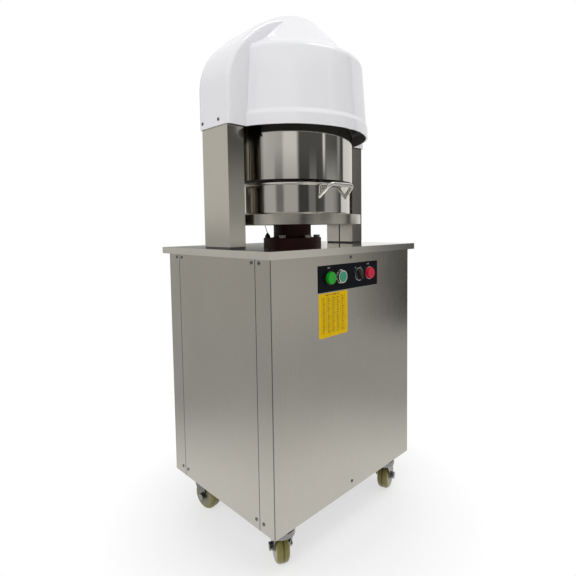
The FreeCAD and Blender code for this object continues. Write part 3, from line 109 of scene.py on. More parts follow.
class Finish:
    """A material under construction: its nodes, its surface shader and the piece's own coordinates."""

    def __init__(self, name, colour, roughness, metallic=0.0, **sockets):
        self.material = bpy.data.materials.new(name)
        self.material.use_nodes = True
        self.tree = self.material.node_tree
        self.surface = self.tree.nodes["Principled BSDF"]
        self.surface.inputs["Base Color"].default_value = (*colour, 1)
        self.surface.inputs["Roughness"].default_value = roughness
        self.surface.inputs["Metallic"].default_value = metallic
        for socket, value in sockets.items():
            self.surface.inputs[socket.replace("_", " ")].default_value = value
        self.place = self.node("TexCoord").outputs["Object"]

    def node(self, kind, inputs=(), **settings):
        """A shader node, with its settings, and its inputs as values or as other nodes' outputs."""
        made = self.tree.nodes.new("ShaderNode" + kind)
        for key, value in settings.items():
            setattr(made, key, value)
        for key, value in dict(inputs).items():
            if isinstance(value, bpy.types.NodeSocket):
                self.tree.links.new(value, made.inputs[key])
            else:
                made.inputs[key].default_value = value
        return made

    def noise(self, scale, detail, stretch=(1, 1, 1), roughness=0.5):
        """Noise in cells per metre, drawn out along an axis by a small stretch."""
        place = self.node("Mapping", {"Vector": self.place, "Scale": stretch}).outputs["Vector"]
        inputs = {"Vector": place, "Scale": scale, "Detail": detail, "Roughness": roughness}
        return self.node("TexNoise", inputs).outputs["Fac"]

    def maths(self, operation, *values):
        return self.node("Math", dict(enumerate(values)), operation=operation).outputs[0]

    def spread(self, value, low, high, start=0.0, end=1.0):
        """Map a value from one span to another, held at both ends."""
        inputs = {"Value": value, "From Min": start, "From Max": end, "To Min": low, "To Max": high}
        return self.node("MapRange", inputs).outputs["Result"]

    def mixed(self, share, first, second):
        """Two colours mixed by a share that varies over the surface."""
        made = self.node("Mix", data_type="RGBA")
        self.tree.links.new(share, made.inputs[MIX_SHARE])
        for socket, colour in ((made.inputs[MIX_FIRST], first), (made.inputs[MIX_SECOND], second)):
            if isinstance(colour, bpy.types.NodeSocket):
                self.tree.links.new(colour, socket)
            else:
                socket.default_value = (*colour, 1)
        return made.outputs[MIX_RESULT]

    def split(self, vector):
        return self.node("SeparateXYZ", {0: vector}).outputs

    def colour(self, value):
        self.tree.links.new(value, self.surface.inputs["Base Color"])

    def rough(self, value):
        self.tree.links.new(value, self.surface.inputs["Roughness"])

    def bump(self, *layers):
        """Relief from layers of height, each with its depth in metres, coarse first."""
        normal = None
        for height, depth in layers:
            inputs = {"Height": height, "Distance": depth, "Strength": 1.0}
            if normal is not None:
                inputs["Normal"] = normal
            normal = self.node("Bump", inputs).outputs["Normal"]
        self.tree.links.new(normal, self.surface.inputs["Normal"])

    def edges(self):
        """Where the surface has a sharp outer edge, from 0 to 1."""
        return self.spread(self.node("NewGeometry").outputs["Pointiness"], 0.0, 1.0, *EDGE_SPAN)

    def show(self, shader):
        """Show a shader of its own in place of the surface."""
        output = next(n for n in self.tree.nodes if n.type == "OUTPUT_MATERIAL")
        self.tree.links.new(shader, output.inputs["Surface"])


def scaled(colour, share):
    """A colour made darker or lighter, held at full brightness."""
    return tuple(min(c * share, 1) for c in colour)


STEEL = (0.47, 0.45, 0.40)
# Stretch of a brushed grain that runs along an axis, against 1 across it
GRAIN_ALONG = {"x": (0.012, 1, 1), "z": (1, 1, 0.012)}

# Painted dark lines on the cabinet: a painted dark reflection along its upright corner bends, and painted shadow
# with some dirt along the joints of its side panels
SHADE_LINE_TONE = 0.22
SEAM_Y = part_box("left_side_panel")[1].y
SEAM_SHADOW_REACH = (0.0007, 0.0014)
CORNER_REFLECTION_REACH = (0.0008, 0.0018)
front_low, front_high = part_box("front_panel")
CORNER_SUM = front_high.x - front_low.y


def painted_shade_lines(finish, tone):
    """A sheet's tone with painted shade: a painted dark reflection along the cabinet's corners, and painted shadow
    with some dirt along the joints beside the side panels.
    """
    x, y, _ = (finish.maths("ABSOLUTE", part) for part in finish.split(finish.place))
    off = finish.maths("ABSOLUTE", finish.maths("SUBTRACT", y, SEAM_Y))
    # Painted shadow, with some dirt, in the gaps beside the side panels
    seam_shadow_and_dirt = finish.spread(off, 1.0, 0.0, *SEAM_SHADOW_REACH)
    # Painted dark reflection along the upright corner bends
    inward = finish.maths("SUBTRACT", CORNER_SUM, finish.maths("ADD", x, y))
    corner = finish.spread(inward, 1.0, 0.0, *CORNER_REFLECTION_REACH)
    share = finish.maths("MAXIMUM", corner, seam_shadow_and_dirt)
    return finish.mixed(share, tone, scaled(STEEL, SHADE_LINE_TONE))


# Noises are given as their cells per metre and their detail
BRUSHED_GRAIN = (1400, 3)
BRUSHED_GRAIN_ROUGHNESS = 0.7
BRUSHED_SMEARS = (7, 4)
BRUSHED_WAVES = (2.6, 1)
BRUSHED_TONES = (0.86, 1.1)
BRUSHED_GRAIN_SHARE = 0.55
BRUSHED_GRAIN_DEPTH = 0.000012
BRUSHED_GLOSS_SPAN = (0.25, 0.75)
SIDE_TO_TOP = (0.3, 0.7)


def brushed_steel(name, colour, axis, rough, wave=0.0009, dull_sides=0.0, lines=False):
    """Fine brushed sheet with slow waves and faint smears, and if asked with duller sides and painted dark lines
    of shade at corners and joints.
    """
    finish = Finish(name, colour, 0.3, metallic=1.0)
    grain = finish.noise(*BRUSHED_GRAIN, GRAIN_ALONG[axis], BRUSHED_GRAIN_ROUGHNESS)
    smears = finish.noise(*BRUSHED_SMEARS)
    waves = finish.noise(*BRUSHED_WAVES)
    dark, light = (scaled(colour, share) for share in BRUSHED_TONES)
    of_grain = finish.maths("MULTIPLY", grain, BRUSHED_GRAIN_SHARE)
    of_smears = finish.maths("MULTIPLY", smears, 1 - BRUSHED_GRAIN_SHARE)
    tone = finish.maths("ADD", of_grain, of_smears)
    sheet = finish.mixed(tone, dark, light)
    # When asked, painted shade lines at the cabinet's corners and joints
    finish.colour(painted_shade_lines(finish, sheet) if lines else sheet)
    gloss = finish.spread(tone, *rough, *BRUSHED_GLOSS_SPAN)
    if dull_sides:
        upward = finish.split(finish.node("NewGeometry").outputs["Normal"])["Z"]
        gloss = finish.maths("ADD", gloss, finish.spread(upward, dull_sides, 0.0, *SIDE_TO_TOP))
    finish.rough(gloss)
    finish.bump((waves, wave), (grain, BRUSHED_GRAIN_DEPTH))
    return finish.material


TURNED_LINES = (2200, 2)
TURNED_STRETCH = (0.01, 0.01, 1)
TURNED_LINE_DEPTH = 0.000002
TURNED_SMEARS = (16, 4)
TURNED_WAVES = (9, 1)
TURNED_GLOSS_SPAN = (0.1, 0.4)
TURNED_DARK = 0.9


def turned_steel(name, colour, rough, wave=0.0004):
    """Mirror-polished round sheet: very fine lines round Z, small dents and thumb smears."""
    finish = Finish(name, colour, 0.08, metallic=1.0)
    lines = finish.noise(*TURNED_LINES, TURNED_STRETCH)
    smears = finish.noise(*TURNED_SMEARS)
    waves = finish.noise(*TURNED_WAVES)
    dulled = finish.maths("MULTIPLY", smears, lines)
    finish.rough(finish.spread(dulled, *rough, *TURNED_GLOSS_SPAN))
    finish.colour(finish.mixed(smears, scaled(colour, TURNED_DARK), colour))
    finish.bump((waves, wave), (lines, TURNED_LINE_DEPTH))
    return finish.material


CAST_SPECKS = (220, 3)
CAST_PATCHES = (30, 2)
CAST_DARK = 0.8
WORN_GAIN = 1.35
WORN_LIFT = 0.02


def cast_metal(name, colour, rough, depth=0.00006):
    """Plated, machined or cast metal with a fine grit and worn, brighter edges."""
    finish = Finish(name, colour, 0.4, metallic=1.0)
    specks = finish.noise(*CAST_SPECKS)
    patches = finish.noise(*CAST_PATCHES)
    bright = tuple(min(c * WORN_GAIN + WORN_LIFT, 1) for c in colour)
    base = finish.mixed(patches, scaled(colour, CAST_DARK), colour)
    finish.colour(finish.mixed(finish.edges(), base, bright))
    finish.rough(finish.spread(patches, *rough, *NOISE_MIDDLE))
    finish.bump((specks, depth))
    return finish.material


PAINT_SKIN_DETAIL = 2
PAINT_PATCHES = (24, 3)
PAINT_TONES = (0.75, 1.2)
RUBBED_SHARE = 0.5


def paint(name, colour, worn, rough=(0.3, 0.42), peel=180, depth=0.00004, **sockets):
    """Sprayed paint over metal: an orange-peel skin, uneven gloss and rubbed edges."""
    finish = Finish(name, colour, 0.35, **sockets)
    skin = finish.noise(peel, PAINT_SKIN_DETAIL)
    patches = finish.noise(*PAINT_PATCHES)
    base = finish.mixed(patches, *(scaled(colour, share) for share in PAINT_TONES))
    finish.colour(finish.mixed(finish.maths("MULTIPLY", finish.edges(), RUBBED_SHARE), base, worn))
    finish.rough(finish.spread(patches, *rough, *NOISE_MIDDLE))
    finish.bump((skin, depth))
    return finish.material


PLASTIC_TEXTURE_DETAIL = 2
PLASTIC_PATCHES = (60, 2)
PLASTIC_TONES = (0.85, 1.12)


def plastic(name, colour, rough, grain=900, depth=0.00001, **sockets):
    """Moulded plastic or rubber: a fine mould texture and slight changes of tone."""
    finish = Finish(name, colour, sum(rough) / 2, **sockets)
    texture = finish.noise(grain, PLASTIC_TEXTURE_DETAIL)
    patches = finish.noise(*PLASTIC_PATCHES)
    finish.colour(finish.mixed(patches, *(scaled(colour, share) for share in PLASTIC_TONES)))
    finish.rough(finish.spread(texture, *rough, *NOISE_MIDDLE))
    finish.bump((texture, depth))
    return finish.material


HOOD_MIDDLE = (0, 0, 1.0)
HOOD_WHITE = (0.80, 0.80, 0.825)
# Painted shade colour of the hood's inside
HOOD_INSIDE_SHADE = (0.15, 0.15, 0.14)
HOOD_PATCHES = (5, 3)
HOOD_DARK = 0.97
HOOD_FIBRE = (120, 3)
HOOD_GLOSS = (40, 2)
HOOD_ROUGH = (0.1, 0.2)
HOOD_INSIDE_ROUGH = (0.55, 0.8)
HOOD_WAVES = (11, 1)
HOOD_RELIEF = 0.0004


def hood_finish():
    """Glossy white moulding, with painted shade on its inside wherever the surface faces the middle."""
    finish = Finish("hood_white", HOOD_WHITE, 0.16, Coat_Weight=0.3, Coat_Roughness=0.06)
    geometry = finish.node("NewGeometry")
    inputs = {0: geometry.outputs["Position"], 1: HOOD_MIDDLE}
    outward = finish.node("VectorMath", inputs, operation="SUBTRACT").outputs["Vector"]
    inputs = {0: geometry.outputs["Normal"], 1: outward}
    facing = finish.node("VectorMath", inputs, operation="DOT_PRODUCT").outputs["Value"]
    shaded_inside = finish.maths("LESS_THAN", facing, 0.0)
    tone = finish.noise(*HOOD_PATCHES)
    shell = finish.mixed(tone, scaled(HOOD_WHITE, HOOD_DARK), HOOD_WHITE)
    # Painted shade where the surface faces the hood's middle
    finish.colour(finish.mixed(shaded_inside, shell, HOOD_INSIDE_SHADE))
    fibre = finish.noise(*HOOD_FIBRE)
    gloss = finish.spread(finish.noise(*HOOD_GLOSS), *HOOD_ROUGH)
    dull = finish.spread(fibre, *HOOD_INSIDE_ROUGH)
    finish.rough(finish.maths("ADD", gloss, finish.maths("MULTIPLY", shaded_inside, dull)))
    waves = finish.noise(*HOOD_WAVES)
    finish.bump((waves, HOOD_RELIEF), (finish.maths("MULTIPLY", fibre, shaded_inside), HOOD_RELIEF))
    return finish.material


TREAD_COLOUR = (0.25, 0.215, 0.055)
CORE_COLOUR = (0.22, 0.20, 0.12)
PARTING_COLOUR = (0.055, 0.035, 0.008)
TREAD_START = 0.0275
PARTING_REACH = (0.0008, 0.0030)
PARTING_SHARE = 0.8
TREAD_SCUFFS = (260, 4)
TREAD_SCUFF_DEPTH = 0.00006
TREAD_PATCHES = (45, 3)
TREAD_WORN = 0.7
TREAD_ROUGH = (0.22, 0.42)


def wheel_finish(name, joint):
    """Olive tread with a dark parting line, on a greyer core, told apart by their place."""
    finish = Finish(name, TREAD_COLOUR, 0.3, Coat_Weight=0.15, Coat_Roughness=0.12, Specular_IOR_Level=0.3)
    inputs = {0: finish.place, 1: joint["pos_m"]}
    arm = finish.node("VectorMath", inputs, operation="SUBTRACT").outputs["Vector"]
    inputs = {0: arm, 1: joint["axis"]}
    across = finish.node("VectorMath", inputs, operation="CROSS_PRODUCT").outputs["Vector"]
    reach = finish.node("VectorMath", {0: across}, operation="LENGTH").outputs["Value"]
    tread = finish.maths("GREATER_THAN", reach, TREAD_START)
    scuffs = finish.noise(*TREAD_SCUFFS)
    patches = finish.noise(*TREAD_PATCHES)
    worn = finish.mixed(patches, scaled(TREAD_COLOUR, TREAD_WORN), TREAD_COLOUR)
    along = finish.node("VectorMath", inputs, operation="DOT_PRODUCT").outputs["Value"]
    parting = finish.spread(finish.maths("ABSOLUTE", along), 1.0, 0.0, *PARTING_REACH)
    lined = finish.mixed(finish.maths("MULTIPLY", parting, PARTING_SHARE), worn, PARTING_COLOUR)
    finish.colour(finish.mixed(tread, CORE_COLOUR, lined))
    finish.rough(finish.spread(scuffs, *TREAD_ROUGH, *NOISE_MIDDLE))
    finish.bump((scuffs, TREAD_SCUFF_DEPTH))
    return finish.material


GREEN_COLLAR_END = -0.06
COLLAR_BLACK = (0.012, 0.012, 0.013)
COLLAR_SILVERS = ((0.55, 0.55, 0.54), (0.72, 0.72, 0.71))
COLLAR_PATCHES = (90, 2)
COLLAR_ROUGH = (0.14, 0.3)


def collar_finish():
    """Bright collars round the selector and the red button, and a black one round the green button."""
    finish = Finish("collars", (0.7, 0.7, 0.69), 0.18, metallic=1.0)
    side = finish.split(finish.place)["X"]
    bright = finish.maths("GREATER_THAN", side, GREEN_COLLAR_END)
    tone = finish.noise(*COLLAR_PATCHES)
    silver = finish.mixed(tone, *COLLAR_SILVERS)
    finish.colour(finish.mixed(bright, COLLAR_BLACK, silver))
    finish.tree.links.new(bright, finish.surface.inputs["Metallic"])
    finish.rough(finish.spread(tone, *COLLAR_ROUGH))
    return finish.material


# The cabinet's sheet carries painted shade lines at its corners and joints
SHEET_UP = brushed_steel("steel_grain_up", STEEL, "z", rough=(0.19, 0.31), lines=True)
TABLETOP = brushed_steel(
    "steel_tabletop", (0.66, 0.64, 0.58), "x", rough=(0.06, 0.12), wave=0.0002, dull_sides=0.16
)
COLUMN_STEEL = brushed_steel("steel_columns", STEEL, "z", rough=(0.14, 0.22), wave=0.0006)
POLISHED = turned_steel("steel_polished", (0.66, 0.64, 0.60), rough=(0.03, 0.11))
TRAY_STEEL = turned_steel("steel_tray", (0.52, 0.50, 0.45), rough=(0.12, 0.26), wave=0.0005)
HANDLE_STEEL = turned_steel("steel_handle", (0.72, 0.71, 0.68), rough=(0.05, 0.12), wave=0.0001)
MACHINED = cast_metal("steel_machined", (0.42, 0.42, 0.41), rough=(0.25, 0.38), depth=0.00001)
SCREW_STEEL = cast_metal("screw_steel", (0.20, 0.20, 0.19), rough=(0.3, 0.45), depth=0.00002)
ZINC = cast_metal("zinc_plate", (0.52, 0.52, 0.51), rough=(0.2, 0.34), depth=0.00003)
# Caster forks darker than the zinc plates: painted shade, for forks that stand in shadow
SHADED_FORK_STEEL = cast_metal("fork_steel_painted_shade", (0.17, 0.17, 0.165), rough=(0.22, 0.34), depth=0.00003)
BRONZE = cast_metal("bronze_bush", (0.50, 0.34, 0.13), rough=(0.28, 0.4), depth=0.00001)
ALUMINIUM = cast_metal("aluminium_cast", (0.55, 0.56, 0.57), rough=(0.35, 0.5))
MAROON = paint(
    "maroon_cast_paint", (0.034, 0.004, 0.007), worn=(0.06, 0.015, 0.018), rough=(0.46, 0.58), peel=90,
    depth=0.00012, Specular_IOR_Level=0.2,
)
BLACK_PAINT = paint("black_paint", (0.012, 0.012, 0.012), worn=(0.06, 0.06, 0.06))
GREY_PAINT = paint("grey_paint", (0.13, 0.14, 0.15), worn=(0.3, 0.3, 0.3))
CONTROL_BLACK = plastic(
    "control_plate_black", (0.004, 0.005, 0.008), (0.4, 0.52), grain=400, Specular_IOR_Level=0.1
)
RUBBER = plastic("black_rubber", (0.010, 0.010, 0.010), (0.45, 0.6), grain=500, depth=0.00003)
BLACK_PLASTIC = plastic("black_plastic", (0.012, 0.012, 0.012), (0.22, 0.36))
BLOCKS = plastic("white_food_plastic", (0.74, 0.74, 0.71), (0.4, 0.55))
GREEN = plastic("green_cap", (0.002, 0.31, 0.010), (0.14, 0.24), Coat_Weight=0.15, Specular_IOR_Level=0.35)
RED = plastic("red_cap", (0.52, 0.006, 0.035), (0.18, 0.3), Coat_Weight=0.3)
LENS = plastic("lamp_lens", (0.012, 0.26, 0.13), (0.2, 0.34), Coat_Weight=0.3)

FINISH_OF_SLOT = {
    "stainless": SHEET_UP,
    "polished_steel": POLISHED,
    "maroon_paint": MAROON,
    "black_paint": BLACK_PAINT,
    "grey_paint": GREY_PAINT,
    "machined_steel": MACHINED,
    "zinc": ZINC,
    "bronze": BRONZE,
    "aluminium": ALUMINIUM,
    "block_plastic": BLOCKS,
    "control_black": CONTROL_BLACK,
    "black_rubber": RUBBER,
    "black_plastic": BLACK_PLASTIC,
    "chrome_trim": HANDLE_STEEL,
    "green_cap": GREEN,
    "red_cap": RED,
    "lamp_lens": LENS,
}
FINISH_OF_NODE = {
    "top_cover": TABLETOP,
    "left_column_cover": COLUMN_STEEL,
    "right_column_cover": COLUMN_STEEL,
    "pedestal_bolts": SCREW_STEEL,
    "tray": TRAY_STEEL,
    "pan_handle": HANDLE_STEEL,
}


def dress_nodes():
    """Give every solid its finish, by its own name or else by its material slot."""
    joints = {j["child"]: j for j in frame["joints"]}
    slots = {row["node"]: row["material_slot"] for row in frame["record"]["subparts"]}
    own = dict(FINISH_OF_NODE, hood=hood_finish(), control_collars=collar_finish())
    # The caster forks take the darker steel with painted shade
    own.update((name, SHADED_FORK_STEEL) for name in nodes if name.endswith("_fork"))
    for name, node in nodes.items():
        if slots[name] == "wheel_tread":
            corner = name.removesuffix("_wheel")
            material = wheel_finish(name + "_finish", joints[corner + "_roller"])
        else:
            material = own.get(name) or FINISH_OF_SLOT[slots[name]]
        for slot in node.material_slots:
            slot.material = material


dress_nodes()


def new_piece(name, mesh, material, body):
    """Put a mesh in the scene as a piece that rides on a body, with a given finish."""
    piece = bpy.data.objects.new(name, mesh)
    scene.collection.objects.link(piece)
    mesh.materials.clear()
    mesh.materials.append(material)
    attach(piece, body)
    return piece


def mesh_from(maker, name, smooth=False):
    """A mesh that a function fills."""
    shape = bmesh.new()
    maker(shape)
    bmesh.ops.recalc_face_normals(shape, faces=shape.faces)
    mesh = bpy.data.meshes.new(name)
    shape.to_mesh(mesh)
    shape.free()
    for face in mesh.polygons:
        face.use_smooth = smooth
    return mesh


def add_band(shape, near, far):
    """Faces between two closed rows of points."""
    for i in range(len(near)):
        j = (i + 1) % len(near)
        shape.faces.new((near[i], near[j], far[j], far[i]))


def close_rings(shape, rings):
    """A closed skin through rows of points, with a flat face on the first and on the last row."""
    for near, far in zip(rings, rings[1:]):
        add_band(shape, near, far)
    shape.faces.new(rings[0])
    shape.faces.new(rings[-1])


# Screw heads with a cross recess, in place of the plain heads
SCREW_RADIUS = 4.0 * MM
SCREW_HEIGHT = 1.6 * MM
SCREW_SEGMENTS = 40
SCREW_RING_SHARES = (1, 1, 0.93, 0.8, 0.66, 0.58, 0.5, 0.42, 0.34, 0.26, 0.18, 0.1)
SCREW_RISE_SHARES = (0, 0.3, 0.62, 0.82, 0.92, 0.95, 0.97, 0.98, 0.99, 1, 1, 1)
RECESS_REACH_SHARE = 0.54
RECESS_HALF_WIDTH_SHARE = 0.13
RECESS_DEPTH_SHARE = 0.55
WELD_REACH = 0.001 * MM
SORT_DIGITS = 4


def add_screw(shape, place, outward):
    """Low round head standing on a face at a place, with a cross-shaped recess."""
    turn = outward.to_track_quat("Z", "Y").to_matrix()
    rings = []
    for ring, rise in zip(SCREW_RING_SHARES, SCREW_RISE_SHARES):
        points = []
        for i in range(SCREW_SEGMENTS):
            angle = math.tau * i / SCREW_SEGMENTS
            u, v = ring * math.cos(angle), ring * math.sin(angle)
            low, high = sorted((abs(u), abs(v)))
            sunk = low < RECESS_HALF_WIDTH_SHARE and high < RECESS_REACH_SHARE
            height = rise - (RECESS_DEPTH_SHARE if sunk else 0)
            spot = Vector((u * SCREW_RADIUS, v * SCREW_RADIUS, height * SCREW_HEIGHT))
            points.append(shape.verts.new(place + turn @ spot))
        rings.append(points)
    for outer, inner in zip(rings, rings[1:]):
        add_band(shape, outer, inner)
    shape.faces.new(rings[-1])
    shape.faces.new(rings[0])


def island_boxes(node):
    """Box of each separate solid in a node."""
    shape = bmesh.new()
    shape.from_mesh(node.data)
    bmesh.ops.remove_doubles(shape, verts=shape.verts, dist=WELD_REACH)
    left = set(shape.verts)
    boxes = []
    while left:
        queue = [left.pop()]
        found = list(queue)
        while queue:
            vertex = queue.pop()
            for edge in vertex.link_edges:
                other = edge.other_vert(vertex)
                if other in left:
                    left.remove(other)
                    queue.append(other)
                    found.append(other)
        low = Vector(min(v.co[i] for v in found) for i in range(3))
        high = Vector(max(v.co[i] for v in found) for i in range(3))
        boxes.append((low, high))
    shape.free()
    return sorted(boxes, key=lambda box: tuple(round(c, SORT_DIGITS) for c in box[0]))


def make_screws(node_name):
    """Replace a node of plain screw heads, each on the face that it stands on."""

    def fill(shape):
        for low, high in island_boxes(nodes[node_name]):
            middle = (low + high) / 2
            size = high - low
            axis = min(range(3), key=lambda i: size[i])
            outward = Vector((0, 0, 0))
            outward[axis] = math.copysign(1, middle[axis])
            add_screw(shape, middle - outward * (size[axis] / 2), outward)

    piece = new_piece(node_name + "_heads", mesh_from(fill, node_name, True), SCREW_STEEL, "cabinet")
    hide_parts(node_name)


make_screws("panel_screws")
make_screws("hood_screws")


# Form of the moulded hood, heights from the tabletop, in place of the hood's solid
HOOD_FLOOR = 275 * MM
HOOD_SKIN = 4 * MM
ARCH_SIDE = 241.5 * MM
ARCH_HALF_DEPTH = 58.5 * MM
ARCH_EDGE = 11 * MM
ARCH_INNER_EDGE = 4 * MM
SHOULDER_START = 359 * MM
SHOULDER_RADIUS = 150 * MM
ARCH_CROWN = 561 * MM
ARCH_SLOPE = math.radians(45)
ARCH_SHOULDER_STEPS = 14
ARCH_CROWN_STEPS = 40
ARCH_EDGE_STEPS = 8
LIP_RADIUS = 201 * MM
LIP_HEIGHT = 23 * MM
DRUM_FOOT_RADIUS = 197 * MM
DRUM_FOOT = 38 * MM
LIP_STEPS = 8
DRUM_TOP_RADIUS = 188 * MM
DRUM_TOP = 445 * MM
DRUM_SHOULDER = 19.5 * MM
CONE_FOOT_RADIUS = 146 * MM
CONE_FOOT = 484 * MM
CONE_HEIGHT = 83 * MM
CONE_ROUND = 26 * MM
CONE_SLOPE = math.radians(47)
SHELF_SLOPE = math.radians(34)
HOOD_OVERRUN = 5 * MM
DRUM_SEGMENTS = 128
DRUM_BEND_STEPS = 8
CREASE_ANGLE = math.radians(28)
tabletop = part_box("top_cover")[1].z


def arc_points(centre, radius, start, end, steps):
    """Points along an arc in a plane, both ends included."""
    turns = (start + (end - start) * i / steps for i in range(steps + 1))
    return [(centre[0] + radius * math.cos(a), centre[1] + radius * math.sin(a)) for a in turns]


def arch_outline(inset, floor):
    """Front outline of the arch, set in by a distance: legs, shoulders, slopes and crown."""
    middle = ARCH_SIDE - SHOULDER_RADIUS
    slope = (middle + SHOULDER_START) * math.cos(ARCH_SLOPE) + SHOULDER_RADIUS
    crown_radius = (slope - ARCH_CROWN * math.sin(ARCH_SLOPE)) / (1 - math.sin(ARCH_SLOPE))
    left_slope = math.pi - ARCH_SLOPE
    shoulder, crown = SHOULDER_RADIUS - inset, crown_radius - inset
    points = [(ARCH_SIDE - inset, floor)]
    points += arc_points((middle, SHOULDER_START), shoulder, 0, ARCH_SLOPE, ARCH_SHOULDER_STEPS)
    top = (0, ARCH_CROWN - crown_radius)
    points += arc_points(top, crown, ARCH_SLOPE, left_slope, ARCH_CROWN_STEPS)
    points += arc_points((-middle, SHOULDER_START), shoulder, left_slope, math.pi, ARCH_SHOULDER_STEPS)
    points.append((inset - ARCH_SIDE, floor))
    return points


def arch_solid(inset, floor, edge):
    """The arch between its rounded front and rear edges."""

    def fill(shape):
        front = ARCH_HALF_DEPTH - inset
        sections = []
        for i in range(ARCH_EDGE_STEPS + 1):
            turn = math.pi / 2 * i / ARCH_EDGE_STEPS
            sections.append((inset + edge * (1 - math.sin(turn)), edge * (1 - math.cos(turn)) - front))
        sections += [(depth, -y) for depth, y in reversed(sections)]
        rings = []
        for depth, y in sections:
            rings.append([shape.verts.new((x, y, tabletop + z)) for x, z in arch_outline(depth, floor)])
        close_rings(shape, rings)

    return mesh_from(fill, "hood_arch")


def drum_profile(inset, floor):
    """Half section of the drum and cone, set in by a distance, from the lip to the flat top."""
    shelf_x, shelf_z = math.sin(SHELF_SLOPE), math.cos(SHELF_SLOPE)
    cone_x, cone_z = math.sin(CONE_SLOPE), math.cos(CONE_SLOPE)
    spread = 1 + shelf_x * cone_x + shelf_z * cone_z
    foot = CONE_FOOT_RADIUS - inset * (shelf_x + cone_x) / spread
    foot_height = CONE_FOOT - inset * (shelf_z + cone_z) / spread
    crown = CONE_FOOT + CONE_HEIGHT - inset
    corner = foot - (crown - foot_height) / math.tan(CONE_SLOPE)
    bend = CONE_ROUND - inset
    flat = corner - bend * math.tan(CONE_SLOPE / 2)
    points = [(LIP_RADIUS - inset, floor)]
    for i in range(LIP_STEPS + 1):
        share = i / LIP_STEPS
        drawn_in = (LIP_RADIUS - DRUM_FOOT_RADIUS) * (1 - math.cos(math.pi * share)) / 2
        height = HOOD_FLOOR + LIP_HEIGHT + (DRUM_FOOT - LIP_HEIGHT) * share
        points.append((LIP_RADIUS - drawn_in - inset, height))
    middle = (DRUM_TOP_RADIUS - DRUM_SHOULDER, DRUM_TOP)
    points += arc_points(middle, DRUM_SHOULDER - inset, 0, math.pi / 2 - SHELF_SLOPE, DRUM_BEND_STEPS)
    points.append((foot, foot_height))
    middle = (flat, crown - bend)
    points += arc_points(middle, bend, math.pi / 2 - CONE_SLOPE, math.pi / 2, DRUM_BEND_STEPS)
    return points


def drum_solid(inset, floor):
    """The drum and cone turned round Z."""

    def fill(shape):
        rings = []
        for radius, height in drum_profile(inset, floor):
            ring = []
            for i in range(DRUM_SEGMENTS):
                turn = math.tau * i / DRUM_SEGMENTS
                spot = (radius * math.cos(turn), radius * math.sin(turn), tabletop + height)
                ring.append(shape.verts.new(spot))
            rings.append(ring)
        close_rings(shape, rings)

    return mesh_from(fill, "hood_drum")


def combined(first, second, operation, name):
    """A new mesh from two meshes by a boolean."""
    things = [bpy.data.objects.new(name + "_part", mesh) for mesh in (first, second)]
    for thing in things:
        scene.collection.objects.link(thing)
    step = things[0].modifiers.new("join", "BOOLEAN")
    step.operation = operation
    step.solver = "EXACT"
    step.object = things[1]
    graph = bpy.context.evaluated_depsgraph_get()
    mesh = bpy.data.meshes.new_from_object(things[0].evaluated_get(graph))
    for thing in things:
        bpy.data.objects.remove(thing)
    return mesh


def make_hood(material):
    """One moulded shell, open underneath, with flat faces that stay flat beside their round edges."""
    outside = combined(arch_solid(0, HOOD_FLOOR, ARCH_EDGE), drum_solid(0, HOOD_FLOOR), "UNION", "hood_out")
    below = HOOD_FLOOR - HOOD_OVERRUN
    hollow = combined(
        arch_solid(HOOD_SKIN, below, ARCH_INNER_EDGE), drum_solid(HOOD_SKIN, below), "UNION", "hood_in"
    )
    shell = combined(outside, hollow, "DIFFERENCE", "hood_shell")
    for face in shell.polygons:
        face.use_smooth = True
    shell.set_sharp_from_angle(angle=CREASE_ANGLE)
    piece = new_piece("hood_shell", shell, material, "cabinet")
    even = piece.modifiers.new("even_normals", "WEIGHTED_NORMAL")
    even.keep_sharp = True
    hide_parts("hood")


make_hood(nodes["hood"].material_slots[0].material)


# Words and marks on the control plate
PRINT = plastic("white_print", (0.62, 0.62, 0.60), (0.4, 0.5))
PRINT_RISE = 0.06 * MM
CAPTION_HEIGHT = 5.0 * MM
plate_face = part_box("control_plate")[0].y


def caption(name, text, x, z, lean=0.0):
    """Raised print on the control plate, centred on a place."""
    data = bpy.data.curves.new(name, "FONT")
    data.body = text
    data.size = CAPTION_HEIGHT
    data.extrude = PRINT_RISE
    data.align_x = "CENTER"
    data.align_y = "CENTER"
    source = bpy.data.objects.new(name + "_text", data)
    scene.collection.objects.link(source)
    bpy.context.view_layer.update()
    mesh = bpy.data.meshes.new_from_object(source)
    bpy.data.objects.remove(source)
    stand = Matrix.Rotation(math.radians(90), 4, "X")
    turn = Matrix.Rotation(math.radians(lean), 4, "Y")
    mesh.transform(Matrix.Translation((x, plate_face, z)) @ turn @ stand)
    new_piece(name, mesh, PRINT, "cabinet")


def centre_of(node_name):
    low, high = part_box(node_name)
    return (low + high) / 2


CAPTION_RISE = 22 * MM
KNOB_MARK_RISE = 19 * MM
KNOB_MARK_LEAN = 30
KNOB_X = 0.025
green = centre_of("green_button")
knob = Vector((KNOB_X, green.y, green.z))
red = centre_of("red_button")
caption("caption_on", "ON", green.x, green.z + CAPTION_RISE)
caption("caption_off", "OFF", red.x, red.z + CAPTION_RISE)
for mark, lean in (("0", -KNOB_MARK_LEAN), ("1", KNOB_MARK_LEAN)):
    side = math.sin(math.radians(lean)) * KNOB_MARK_RISE
    rise = math.cos(math.radians(lean)) * KNOB_MARK_RISE
    caption("caption_" + mark, mark, knob.x + side, knob.z + rise, lean)


def add_slab(shape, outline, front_y, back_y):
    """A thin upright plate with an outline in the XZ plane."""
    front = [shape.verts.new((x, front_y, z)) for x, z in outline]
    back = [shape.verts.new((x, back_y, z)) for x, z in outline]
    shape.faces.new(front)
    shape.faces.new(back)
    add_band(shape, front, back)


CORNER_STEPS = 6


